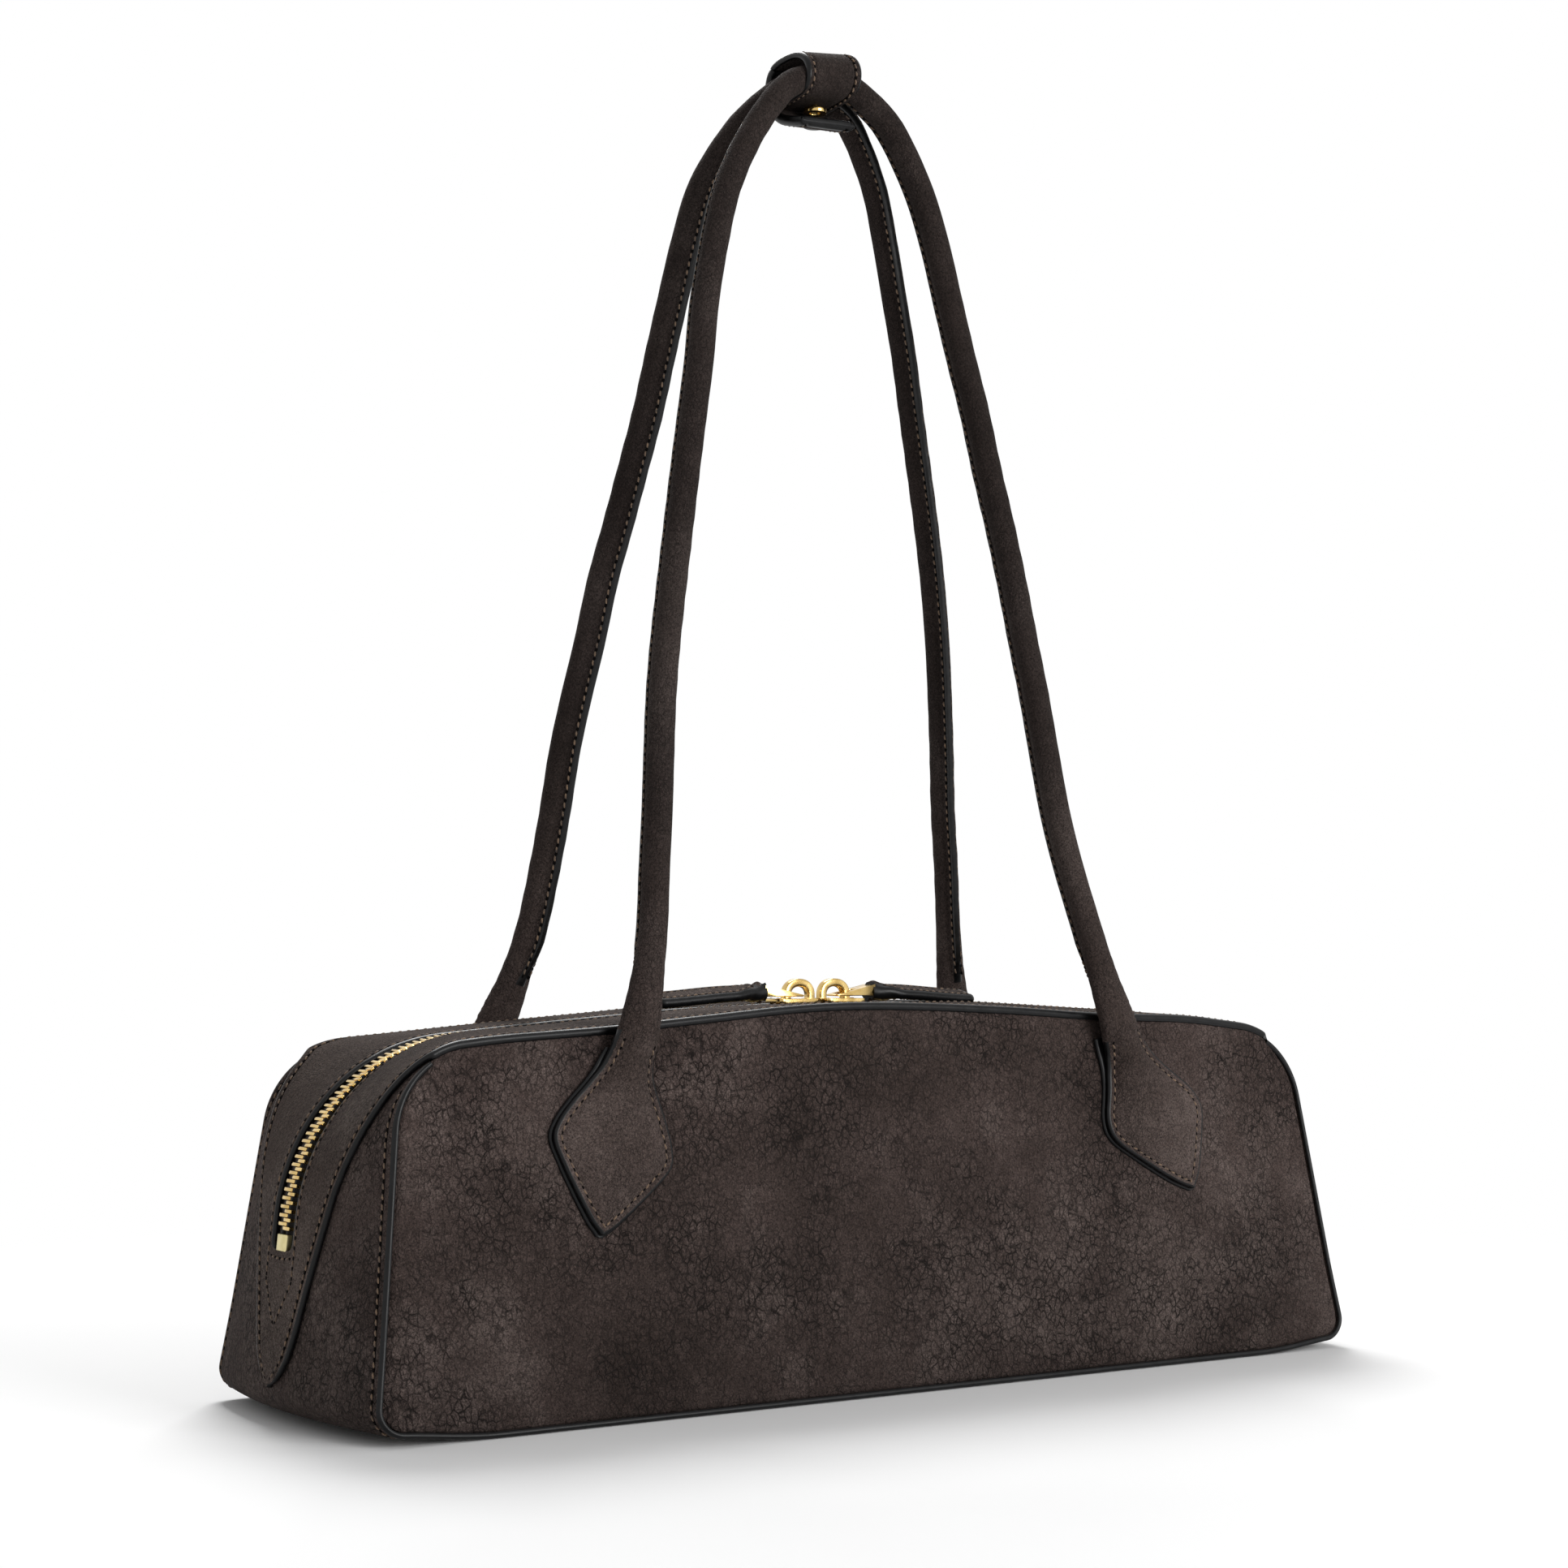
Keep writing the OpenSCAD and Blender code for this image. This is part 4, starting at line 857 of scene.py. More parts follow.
# handles: one leather from the tip of one kite, round a cord over the arch, to the tip of the other
handle = {
    "footHeight": 113.5, "footStand": 6.2, "top": 436.5, "radius": 4.4,
    "lipReach": 7.2, "lipHalf": 1.25, "lipFrom": 121, "lipFull": 146,
    # height, then how far the rod lies from the middle of the bag
    "away": [[113.5, 48.2], [120, 47.5], [128, 46.4], [140, 43.4], [160, 39.3], [200, 32], [240, 26],
             [280, 20.8], [320, 16.4], [360, 12.6], [400, 10], [420, 8.4], [430, 7.6], [437, 7.2]],
    # height, then half width of the neck
    "neck": [[112, 7.6], [117, 7.0], [120, 6.6], [127, 5.9], [134, 5.25], [141, 4.75], [152, 4.4]],
}
# each leg: height, then distance from the middle of the handle; the lip's turn in degrees
legs = {
    "frontLeft": {"turn": -10, "places": [
        [131, 94.6], [148, 89.9], [166, 86.9], [184, 83.9], [202, 81.3], [220, 78.9], [238, 75.7], [257, 71.8],
        [275, 68], [295, 63.9], [314, 59.9], [333, 56], [352, 52.9], [373, 48.1], [393, 42.1], [413, 31.6],
        [429.4, 18.8], [435, 9.6]]},
    "frontRight": {"turn": 10, "places": [
        [130, 88], [149, 84.5], [169, 80.2], [187, 77.3], [207, 75.5], [228, 73.5], [246, 71.1], [267, 68.3],
        [287, 65], [306, 61.1], [327, 57.3], [345, 53], [365, 48.5], [385, 43.7], [404, 37.3], [423.1, 26.6],
        [431.8, 15.9], [435.6, 8]]},
    "backRight": {"turn": 20, "places": [
        [130, 90.5], [148, 86.6], [168, 84], [186, 82.2], [206, 80.6], [224, 77.8], [242, 74.4], [263, 70.9],
        [281, 66.6], [300, 62.1], [319, 57.7], [339, 53.9], [358, 50.1], [378, 45.6], [398, 39.4], [418.2, 26.7],
        [430.5, 14.5], [435.4, 7.4]]},
    "backLeft": {"turn": 11, "places": [
        [128, 93.3], [149, 88.2], [170, 84.2], [191, 79.9], [211, 76.9], [232, 73.7], [250, 70.8], [271, 66.7],
        [291, 62.1], [310, 57.4], [331, 52.2], [351, 47.5], [369, 42.6], [389, 37.4], [408, 31.4], [426.7, 20.4],
        [433.8, 10.4]]},
}
# the kites: tip, middle and neck as distance and height, the tilt across in degrees, half widths by share
kites = {
    "left": {"backFrom": 0.12, "tip": (114.1, 55.5), "middle": (108.4, 80.5), "neck": (98, 117), "tilt": 14.8,
             "half": [
        [-0.3, 5.5], [0, 6.8], [0.06, 7.2], [0.13, 8.1], [0.22, 9.9], [0.3, 12.7], [0.38, 16.2], [0.47, 19.5],
        [0.53, 20.9], [0.57, 21.3], [0.61, 20.6], [0.65, 19], [0.75, 14.5], [0.87, 8.5], [0.95, 4.2], [0.985, 1.7],
        [1, 0]]},
    "right": {"backFrom": 0.05, "tip": (122.3, 58.3), "middle": (107.9, 83.3), "neck": (92.6, 114.7), "tilt": 14.4,
              "half": [
        [-0.3, 6], [0, 8.2], [0.13, 9.5], [0.22, 10.9], [0.3, 13], [0.38, 16], [0.45, 18.9], [0.5, 20.3],
        [0.55, 21.2], [0.6, 21.1], [0.65, 19.9], [0.75, 15.2], [0.87, 9.2], [0.95, 4.6], [0.985, 1.7], [1, 0]]},
    "back": {"backFrom": 0.1, "tip": (116.5, 56.5), "middle": (108.2, 81.7), "neck": (96, 116), "tilt": 14.6,
             "half": [
        [-0.3, 5.7], [0, 7.2], [0.06, 7.6], [0.13, 8.6], [0.22, 10.3], [0.3, 12.8], [0.38, 16.1], [0.47, 19.5],
        [0.53, 20.8], [0.58, 21.3], [0.62, 20.6], [0.66, 19.2], [0.75, 14.8], [0.87, 8.8], [0.95, 4.4],
        [0.985, 1.7], [1, 0]]},
}
kite = {
    "middleShare": 0.57, "lowReach": 66.0, "thick": 2.0, "backThick": 1.6, "base": 2.75, "foot": 6.0,
    "margin": 0.6, "press": 0.45,
    "swell": [[-0.2, 6.5], [0, 6.2], [0.1, 5.1], [0.2, 4.1], [0.3, 3.3], [0.45, 2.5], [0.6, 1.9], [0.8, 1.1],
              [1, 0]],
}
planeUp = np.array([0, math.sin(sideLean), math.cos(sideLean)])
planeOut = np.array([0, -math.cos(sideLean), math.sin(sideLean)])


def kiteCentre(shape, share, out):
    # on the front of the bag, with x away from the middle; out is the height over the panel
    stops = [kite["middleShare"] - 1, 0, kite["middleShare"], 1]
    neck, middle, tip = (np.array(shape[k], float) for k in ("neck", "middle", "tip"))
    above = neck + (neck - middle) * (1 - kite["middleShare"]) / kite["middleShare"]
    x, z = (np.interp(share, stops, [p[k] for p in (above, neck, middle, tip)]) for k in (0, 1))
    return np.stack([x, -halfDepth(z), z], -1) + np.asarray(out)[..., None] * planeOut


def kiteHalf(shape, share):
    return sum(lookUp(share + d, shape["half"]) for d in (-0.02, -0.01, 0, 0.01, 0.02)) / 5


def kiteAcross(shape):
    # outward and up across a kite, in its own frame
    a = math.radians(shape["tilt"])
    return math.cos(a) * np.array([1, 0, 0]) + math.sin(a) * planeUp


def kiteLift(share):
    # how high a kite's middle stands over the panel
    return mix(kite["base"], kite["foot"], ease((0.38 - share) / 0.44))


def catmull(points, per):
    padded = np.concatenate([points[:1] * 2 - points[1:2], points, points[-1:] * 2 - points[-2:-1]])
    t = np.linspace(0, 1, per, endpoint=False)[:, None]
    made = []
    for i in range(len(points) - 1):
        a, b, c, d = padded[i:i + 4]
        made.append(0.5 * (2 * b + (c - a) * t + (2 * a - 5 * b + 4 * c - d) * t ** 2
                           + (3 * b - a - 3 * c + d) * t ** 3))
    return np.concatenate(made + [points[-1:]])


def halfHandle(places, shape):
    # from a kite's tip up to the top of the arch: places, lengths and shares of the kite
    shares = np.array([1, 0.88, 0.76, 0.64, 0.52, 0.4, 0.28, 0.16, 0.04])
    flat = kiteCentre(shape, shares, kiteLift(shares))
    heights, across = column(places, 0), column(places, 1)
    rod = np.stack([across, -lookUp(heights, handle["away"]), heights], 1)
    top = np.array([[0, -handle["away"][-1][1], handle["top"]]])
    full = np.concatenate([flat, rod, top, (rod * [-1, 1, 1])[::-1][:2]])
    per = 30
    fine = catmull(full, per)[:(len(flat) + len(rod)) * per + 1]
    steps = stepsAlong(fine)
    flatEnd = steps[(len(flat) - 1) * per]
    at = np.concatenate([np.linspace(0, 3, 8)[:-1], np.arange(3, flatEnd + 26, 0.9),
                         np.linspace(flatEnd + 26, steps[-1], 96)[1:]])
    share = np.interp(at, steps[:len(flat) * per:per], shares)
    share = np.where(at > flatEnd, shares[-1] - (at - flatEnd) / kite["lowReach"], share)
    return pointsAt(at, steps, fine), at, share


def rodSection(lip, turned, wide):
    # the round section, with the sewn lip on its inner side
    front = 2 * edgeColumns + frontMiddle
    inner = 270 + np.array([12, 24, 36, 50, 60, 70, 78, 90, 102, 110, 120, 130, 144, 156, 168])
    angles = np.concatenate([np.linspace(90, 270, front), inner])
    radius = handle["radius"]
    b = radius * np.sin(np.radians(angles)) * wide[:, None]
    n = radius * np.cos(np.radians(angles)) + 0 * b
    lipB, lipN = b.copy(), n.copy()
    reach, half = handle["lipReach"], handle["lipHalf"]
    shape = [(-half - 0.5, radius * 0.9), (-half - 0.08, radius + 0.9), (-half + 0.3, reach - 0.2), (0, reach)]
    middle = front + 7
    for k, (sideways, up) in enumerate(shape):
        for way in (1, -1):
            lipB[:, middle - way * (3 - k)], lipN[:, middle - way * (3 - k)] = way * sideways, up
    b, n = b + (lipB - b) * lip[:, None], n + (lipN - n) * lip[:, None]
    c, s = np.cos(turned)[:, None], np.sin(turned)[:, None]
    b, n = b * c + n * s, n * c - b * s
    return np.concatenate([b, b[:, :1]], 1), np.concatenate([n, n[:, :1]], 1), middle


def handleSurface(left, right, leftShape, rightShape, seed):
    rightPath, rightAt, rightShare = halfHandle(right["places"], rightShape)
    leftPath, leftAt, leftShare = halfHandle(left["places"], leftShape)
    path = np.concatenate([rightPath, (leftPath * [-1, 1, 1])[::-1][1:]])
    along = np.concatenate([rightAt, rightAt[-1] + leftAt[-1] - leftAt[::-1][1:]])
    share = np.concatenate([rightShare, leftShare[::-1][1:]])
    onRight = np.arange(len(path)) < len(rightPath)
    ahead = unit(np.gradient(path, along, axis=0))
    rod = ease((path[:, 2] - 98) / 21)
    across = -np.where(onRight[:, None], kiteAcross(rightShape), kiteAcross(leftShape) * [-1, 1, 1])
    reference = mix(-planeOut[None], np.array([[0, 1.0, 0]]), rod[:, None])
    inward = unit(reference - ahead * (reference * ahead).sum(1, keepdims=True))
    sideways = unit(mix(across, np.cross(ahead, inward), rod[:, None]))
    lip = ease((path[:, 2] - handle["lipFrom"]) / (handle["lipFull"] - handle["lipFrom"]))
    turned = np.radians(mix(left["turn"], right["turn"], ease((path[:, 0] + 25) / 50))) * lip
    half = np.where(onRight, kiteHalf(rightShape, share), kiteHalf(leftShape, share))
    b, n, stretch = slabSection(half, along, kite["thick"], press=kite["press"] * ease((share - 0.03) / 0.1))
    swell = lookUp(share, kite["swell"])
    reach = np.maximum(half - 3.0 * stretch, 0.6)[:, None]
    dome = swell[:, None] * (1 - np.clip(np.abs(b) / reach, 0, 1) ** 2) ** 0.8
    lift = kiteLift(share) - kite["base"]
    n = np.where(n < 0, n - dome, n) + lift[:, None]
    wide = lookUp(path[:, 2], handle["neck"]) / handle["radius"]
    rodB, rodN, middle = rodSection(lip, turned, wide)
    weight = rod[:, None]
    b, n = mix(b, rodB, weight), mix(n, rodN, weight)
    # small dents along the rod and soft creases across the neck
    turns = along[:, None] * 0.9 + seed
    dents = 0.09 * np.sin(turns) * np.sin(turns * 0.41 + 1) * weight
    creased = np.exp(-((share[:, None] - 0.08) / 0.16) ** 2) * (n < 0)
    dents = dents - 0.16 * creased * np.sin(along[:, None] * 2.5 + 0.35 * b + np.sin(b * 0.5 + seed))
    out = np.stack([b, n], -1)
    out = out + unit(out) * dents[..., None]
    points = path[:, None] + out[..., :1] * sideways[:, None] + out[..., 1:] * inward[:, None]
    slots = rimSlots(len(path))
    slots[(share[1:] < 0.05)] = 0
    raised = (lip[1:] > 0.25) & (lip[:-1] > 0.25)
    for k in (middle - 2, middle - 1, middle, middle + 1):
        slots[raised, k] = 1
    return points, slots, {"path": path, "inward": inward, "sideways": sideways, "lip": lip, "turned": turned,
                           "share": share, "onRight": onRight}


def turnBack(points, face):
    return points if face < 0 else points * [-1, -1, 1]


def handleSewing(points, at):
    paths = []
    # round each kite, in the pressed line
    alongRows = np.gradient(points, axis=0)
    for mine in (at["onRight"], ~at["onRight"]):
        rows = np.flatnonzero(mine & (at["share"] < 0.965) & (at["share"] > 0.07))
        rows = rows if at["share"][rows[0]] < at["share"][rows[-1]] else rows[::-1]
        line, outward = [], []
        for k, order in zip(sewnColumns, (rows, rows[::-1])):
            normal = unit(np.cross(points[order, k + 1] - points[order, k - 1], alongRows[order, k]))
            facing = np.sign((normal * -at["inward"][order]).sum(1, keepdims=True))
            line.append(points[order, k])
            outward.append(normal * facing)
        paths.append((np.concatenate(line), np.concatenate(outward)))
    # both sides of the lip
    rows = at["lip"] > 0.45
    c, s = np.cos(at["turned"]), np.sin(at["turned"])
    for edge in (1, -1):
        b0, n0 = edge * (handle["lipHalf"] + 0.1), handle["radius"] + 1.3
        b, n = b0 * c + n0 * s, n0 * c - b0 * s
        outward = edge * (at["sideways"] * c[:, None] - at["inward"] * s[:, None])
        line = at["path"] + b[:, None] * at["sideways"] + n[:, None] * at["inward"]
        paths.append((line[rows], outward[rows]))
    return paths


def bendAtFoot(piece):
    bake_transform(piece)


# the cord inside a handle: a laid rope of three strands
rope = {"radius": 2.7, "turns": 0.55, "sides": 18, "depth": 0.22, "rows": 160, "from": 122}


def ropeLoft(name, path):
    ahead = unit(np.gradient(path, axis=0))
    inward = unit(np.array([0, 1.0, 0]) - ahead * ahead[:, 1:2])
    sideways = np.cross(ahead, inward)
    angle = np.linspace(0, 2 * math.pi, rope["sides"] + 1)[None]
    strands = np.abs(np.sin(1.5 * (angle - stepsAlong(path)[:, None] * rope["turns"]))) ** 2
    size = rope["radius"] * (1 - rope["depth"] * strands)
    points = (path[:, None] + (size * np.cos(angle))[..., None] * inward[:, None]
              + (size * np.sin(angle))[..., None] * sideways[:, None])
    return sheetGrid(name, points, [ropeMaterial])


def backingPoints(shape):
    # the layer behind a kite, painted all round, a little larger than the kite
    share = np.concatenate([np.linspace(shape["backFrom"], 0.9, 62), np.linspace(0.9, 1.0, 14)[1:]])
    centre = kiteCentre(shape, share, np.full(len(share), 0.12 + kite["backThick"] / 2))
    down = unit(centre[-1] - centre[0])
    centre = centre + down * (kite["margin"] * ease((share - 0.6) / 0.4))[:, None]
    half = kiteHalf(shape, share) + kite["margin"] * 1.15 * ease((share - shape["backFrom"] + 0.02) / 0.1)
    b, n, stretch = slabSection(half, stepsAlong(centre), kite["backThick"], press=0)
    return centre[:, None] - b[..., None] * kiteAcross(shape) - n[..., None] * planeOut


handlePlan = {
    "front": (-1, legs["frontLeft"], legs["frontRight"], kites["left"], kites["right"]),
    "back": (1, legs["backLeft"], legs["backRight"], kites["back"], kites["back"]),
}
for word, (face, left, right, leftShape, rightShape) in handlePlan.items():
    points, slots, at = handleSurface(left, right, leftShape, rightShape, 0.0 if face < 0 else 2.1)
    piece = sheetGrid(f"{word}_handle_leather", turnBack(points, face), [nubuckHandle, edgePaint], slots)
    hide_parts(f"{word}_handle", f"{word}_left_tab", f"{word}_right_tab")
    bendAtFoot(piece)
    sewn = sewing(f"{word}_handle_sewing",
                  [(turnBack(line, face), turnBack(out, face)) for line, out in handleSewing(points, at)])
    bendAtFoot(sewn)
    path = at["path"]
    inside = resample(path[path[:, 2] > rope["from"]], rope["rows"])
    cord = ropeLoft(f"{word}_handle_rope", turnBack(inside, face))
    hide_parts(f"{word}_handle_cord")
    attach(cord, f"{word}_handle_body")
    for side, shape in ((-1, leftShape), (1, rightShape)):
        points = turnBack(backingPoints(shape) * [side, 1, 1], face)
        sideWord = "left" if side * -face < 0 else "right"
        backing = sheetGrid(f"{word}_{sideWord}_backing_edge", points, [edgePaint])
        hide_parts(f"{word}_{sideWord}_backing")
        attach(backing, "shell")
print("handles made")


# metal parts with softened edges: rounding, height above which it is cut, move along x and up,
# finish and body; the stops are level with the teeth, and the snap hangs with the flap
metalPlan = {
    "left_slider": (0.4, 124.5, (0, 0), brass, "left_slider_body"),
    "right_slider": (0.4, 124.5, (0, 0), brass, "right_slider_body"),
    "left_pull_link": (0.22, None, (0, 0), brass, "left_pull"),
    "right_pull_link": (0.22, None, (0, 0), brass, "right_pull"),
    "left_end_stop": (0.3, None, (-1.1, 1.5), paleBrass, "shell"),
    "right_end_stop": (0.3, None, (1.1, 1.5), paleBrass, "shell"),
    "snap_socket": (0.2, None, (0, -1.4), brass, "front_handle_body"),
    "snap_stud": (0.15, None, (0, -4.9), brass, "keeper_flap_body"),
    "snap_cap": (0.18, None, (0, -2.5), edgePaint, "keeper_flap_body"),
}
link = {"thinAt": 8.5, "length": 12.5, "low": 125.7, "high": 127.0, "middle": 126.53, "thin": 0.5,
        "thick": 1.25}
for node, (width, cutAt, (moveX, moveUp), finish, body) in metalPlan.items():
    piece = polishedCopy(node, finish, width, cutAt)
    p = readPoints(piece) / mm + [moveX, 0, moveUp]
    if node.endswith("link"):
        # the link is a wedge: thin where it hangs in the ring, thick at the leather, and rising
        t = np.clip((np.abs(p[:, 0]) - link["thinAt"]) / link["length"], -0.1, 1)
        thickness = (p[:, 2] - link["middle"]) * mix(link["thin"], link["thick"], t)
        p[:, 2] = mix(link["low"], link["high"], t) + thickness
    writePoints(piece, p * mm)
    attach(piece, body)

# the ring that stands on each slider
arch = {"centre": 7.25, "half": 6.15, "bar": 2.7, "depth": 3.2, "foot": 123.9, "leg": 1.6, "top": 131.0,
        "roundness": 2.25, "corner": 5.0}
reachX, reachZ = arch["half"] - arch["bar"] / 2, arch["top"] - arch["bar"] / 2 - arch["foot"] - arch["leg"]
turns = np.linspace(0, math.pi, 44)
bow = np.stack([reachX * np.sign(np.cos(turns)) * np.abs(np.cos(turns)) ** (2 / arch["roundness"]),
                arch["foot"] + arch["leg"] + reachZ * np.sin(turns) ** (2 / arch["roundness"])], 1)
bow = np.concatenate([[[reachX, arch["foot"]]], bow, [[-reachX, arch["foot"]]]])
bowAhead = unit(np.gradient(bow, axis=0))
bowOut = np.stack([bowAhead[:, 1], -bowAhead[:, 0]], 1)
ring = np.linspace(0, 2 * math.pi, 29)
ringU = arch["bar"] / 2 * np.sign(np.cos(ring)) * np.abs(np.cos(ring)) ** (2 / arch["corner"])
ringV = arch["depth"] / 2 * np.sign(np.sin(ring)) * np.abs(np.sin(ring)) ** (2 / arch["corner"])
for side, word in ((-1, "left"), (1, "right")):
    points = np.stack([side * arch["centre"] + bow[:, :1] + ringU * bowOut[:, :1], ringV + 0 * bow[:, :1],
                       bow[:, 1:] + ringU * bowOut[:, 1:]], -1)
    piece = sheetGrid(f"{word}_slider_arch", points, [brass], smoothAngle=meshing["metal"])
    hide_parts(f"{word}_slider")
    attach(piece, f"{word}_slider_body")
print("metal made")


# zip pulls: two leathers sewn together, bunched at the neck round the link's tongue
pull = {
    "pinX": 7.832, "pinZ": 126.03, "linkLength": 14.6, "length": 43, "half": 5.75, "neckHalf": 3.9,
    "thick": 3.4, "neckThick": 6.0, "fall": 1.8, "rise": 0.4, "tilt": 13, "corner": 3.0, "stitchInset": 2.6,
    "press": 0.16, "pitch": 2.7,
}


def pullPlace(at, b, h):
    # a point of a pull: along it, across it and above its middle, with its front edge tipped down
    tilt = np.radians(pull["tilt"]) * ease(at / 14)
    x = pull["pinX"] + pull["linkLength"] + at - 0.6
    z = pull["pinZ"] + pull["rise"] - at / pull["length"] * pull["fall"] + 0.35 * np.sin(at / 8.5)
    return np.stack([x + 0 * b, b * np.cos(tilt) - h * np.sin(tilt),
                     z + b * np.sin(tilt) + h * np.cos(tilt)], -1)


def pullPoints():
    length, corner = pull["length"], pull["corner"]
    at = np.concatenate([np.linspace(0, 12, 30), np.linspace(12, 36, 26)[1:],
                         36 + (length - 36) * np.sin(np.linspace(0, math.pi / 2, 24))[1:]])
    half = mix(pull["neckHalf"], pull["half"], ease(at / 13))
    into = np.clip(at - (length - corner), 0, corner)
    half = half - corner + np.sqrt(np.maximum(corner ** 2 - into ** 2, 0))
    thick = mix(pull["neckThick"], pull["thick"], ease((at - 1) / 12))
    blunt = np.clip((at - (length - pull["thick"] / 2)) / (pull["thick"] / 2), 0, 1)
    thick = thick * np.sqrt(np.maximum(1 - blunt ** 2, 0.02))
    b, n, stretch = slabSection(half, at, thick, press=pull["press"])
    bunch = np.exp(-(at / 7) ** 2)[:, None]
    n = n * (1 + bunch * 0.16 * np.sin(b * 1.9 + at[:, None] * 0.9))
    n = n + bunch * 0.4 * np.sin(b * 0.9 - at[:, None] * 0.5)
    points = pullPlace(at[:, None], b, -n)
    slots = rimSlots(len(at))
    slots[at[1:] > length - 1.7] = 1
    return points, slots, at, half, thick


for side, word in ((-1, "left"), (1, "right")):
    points, slots, at, half, thick = pullPoints()
    piece = sheetGrid(f"{word}_pull_leather", points * [side, 1, 1], [nubuckFine, edgePaint], slots)
    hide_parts(f"{word}_pull_tab")
    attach(piece, f"{word}_pull")
    rows = (at > 5) & (at < pull["length"] - pull["stitchInset"])
    inner = (half - pull["stitchInset"])[rows]
    paths = []
    for top in (1, -1):
        height = top * (thick[rows] / 2 - (pull["press"] if top > 0 else 0.03))
        edges = [pullPlace(at[rows], edge * inner, height) for edge in (1, -1)]
        line = np.concatenate([edges[0], edges[1][::-1]]) * [side, 1, 1]
        paths.append((line, np.tile([0, 0, float(top)], (len(line), 1))))
    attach(sewing(f"{word}_pull_sewing", paths, pitch=pull["pitch"]), f"{word}_pull")
print("pulls made")


# keeper: a strap over both rods, and a flap that hangs under it and closes on the snap
keeper = {
    "half": 11.2, "shift": -0.8, "thick": 2.4, "stitchInset": 2.6, "pitch": 2.8,
    # outer lines as distance from the middle and height: over the top and round the front, then the flap
    "strap": [[9.9, 443.4], [6, 444.6], [1, 445.1], [-4, 444.9], [-8.4, 443.6], [-11.8, 441], [-13.6, 437.4],
              [-13.4, 433.8], [-11.4, 431], [-8, 429.4], [-3, 428.7], [2.5, 428.2], [7, 427.9], [10.4, 427.6]],
    "flap": [[9.9, 443.4], [12.4, 441.2], [13.8, 437.8], [14.1, 434], [13.8, 430.4], [12.6, 427.4], [10, 425.2],
              [5.5, 422.2], [0.5, 420.4], [-4.5, 419.1], [-9, 418.4]],
    "flapThick": 3.6, "tipTop": 0.12, "tipFlap": 0.05,
}


def tipped(points):
    # the keeper sits a little askew on the rods
    p = np.array(points, float)
    p[..., 2] += (p[..., 0] + 10) * mix(keeper["tipFlap"], keeper["tipTop"], ease((p[..., 2] - 424) / 16))
    p[..., 0] += keeper["shift"]
    return p


def strapSheet(name, outer, thick):
    # a strap across x whose outer face follows a line in the plane across the rods
    half = keeper["half"]
    line = resample(catmull(np.array(outer, float), 16), 96)
    ahead = unit(np.gradient(line, axis=0))
    outward = np.stack([-ahead[:, 1], ahead[:, 0]], 1)
    outward *= np.sign(outward[0, 1])
    rows = len(line)
    ones = np.ones(rows)
    x, rise, flags = bandSection(-half * ones, half * ones, -thick * ones, 0 * ones, middle=6)
    # the ends thin out round
    fromEnd = np.minimum(np.arange(rows), np.arange(rows)[::-1]) * stepsAlong(line)[-1] / (rows - 1)
    thinned = np.sqrt(np.maximum(1 - (1 - np.clip(fromEnd / (thick / 2), 0, 1)) ** 2, 0.03))[:, None]
    rise = (rise + thick / 2) * thinned - thick / 2
    points = np.stack([x, line[:, :1] + rise * outward[:, :1], line[:, 1:] + rise * outward[:, 1:]], -1)
    slots = np.tile(flags, (rows - 1, 1))
    slots[fromEnd[1:] < thick * 0.6] = 1
    sewn = []
    for edge in (1, -1):
        at = np.column_stack([np.full(rows, edge * (half - keeper["stitchInset"])), line - outward * 0.2])
        sewn.append((tipped(at[3:-3]), np.column_stack([np.zeros(rows), outward])[3:-3]))
    piece = sheetGrid(f"{name}_leather", tipped(points), [nubuckHandle, edgePaint], slots)
    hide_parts(name)
    return piece, sewing(f"{name}_sewing", sewn, pitch=keeper["pitch"])


for piece in strapSheet("keeper_strap", keeper["strap"], keeper["thick"]):
    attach(piece, "front_handle_body")
for piece in strapSheet("keeper_flap", keeper["flap"], keeper["flapThick"]):
    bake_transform(piece)
print("keeper made")


# zip: teeth sewn on cloth tapes, in quarters that run to where the mouth ends
zipSize = {
    "pitch": 2.5, "toothLength": 1.15, "toothThick": 2.5, "reach": 1.2, "base": 3.8, "rounding": 0.32,
    "headThin": 0.22, "from": 17.5, "footHeight": 56.9,
    "drop": 0.3, "proud": 1.2, "proudFrom": 100, "proudOver": 36,
    "tapeInner": 0.95, "tapeOuter": 12, "tapeThick": 0.6, "cord": 0.85,
}


def toothShape():
    # along the chain, across, up: a bar with a rounded, thinner head at +y
    deselectAll()
    bpy.ops.mesh.primitive_cube_add(size=1)
    cube = bpy.context.object
    length, reach, base, thick = (zipSize[k] for k in ("toothLength", "reach", "base", "toothThick"))
    writePoints(cube, readPoints(cube) * [length, reach + base, thick] + [0, (reach - base) / 2, 0])
    bpy.ops.object.mode_set(mode="EDIT")
    bpy.ops.mesh.select_all(action="SELECT")
    bpy.ops.mesh.bevel(offset=zipSize["rounding"], segments=2, affect="EDGES")
    bpy.ops.object.mode_set(mode="OBJECT")
    points, faces = takeShape(cube)
    points[:, 2] *= 1 - zipSize["headThin"] * ease((points[:, 1] + 0.4) / 0.8)
    return points, faces


toothPoints, toothFaces = toothShape()
# even steps along the middle of the bag, and the station of each
chainS = np.linspace(0, 3.2, 6000)
chainLine = skin(chainS, 0 * chainS, 0)
chainSteps = stepsAlong(chainLine)
slotFootStep = np.interp(-zipSize["footHeight"], -chainLine[:, 2], chainSteps)


def chainRise(step):
    return zipSize["proud"] * ease((step - zipSize["proudFrom"]) / zipSize["proudOver"]) - zipSize["drop"]


def atStep(step):
    return np.interp(step, chainSteps, chainS)


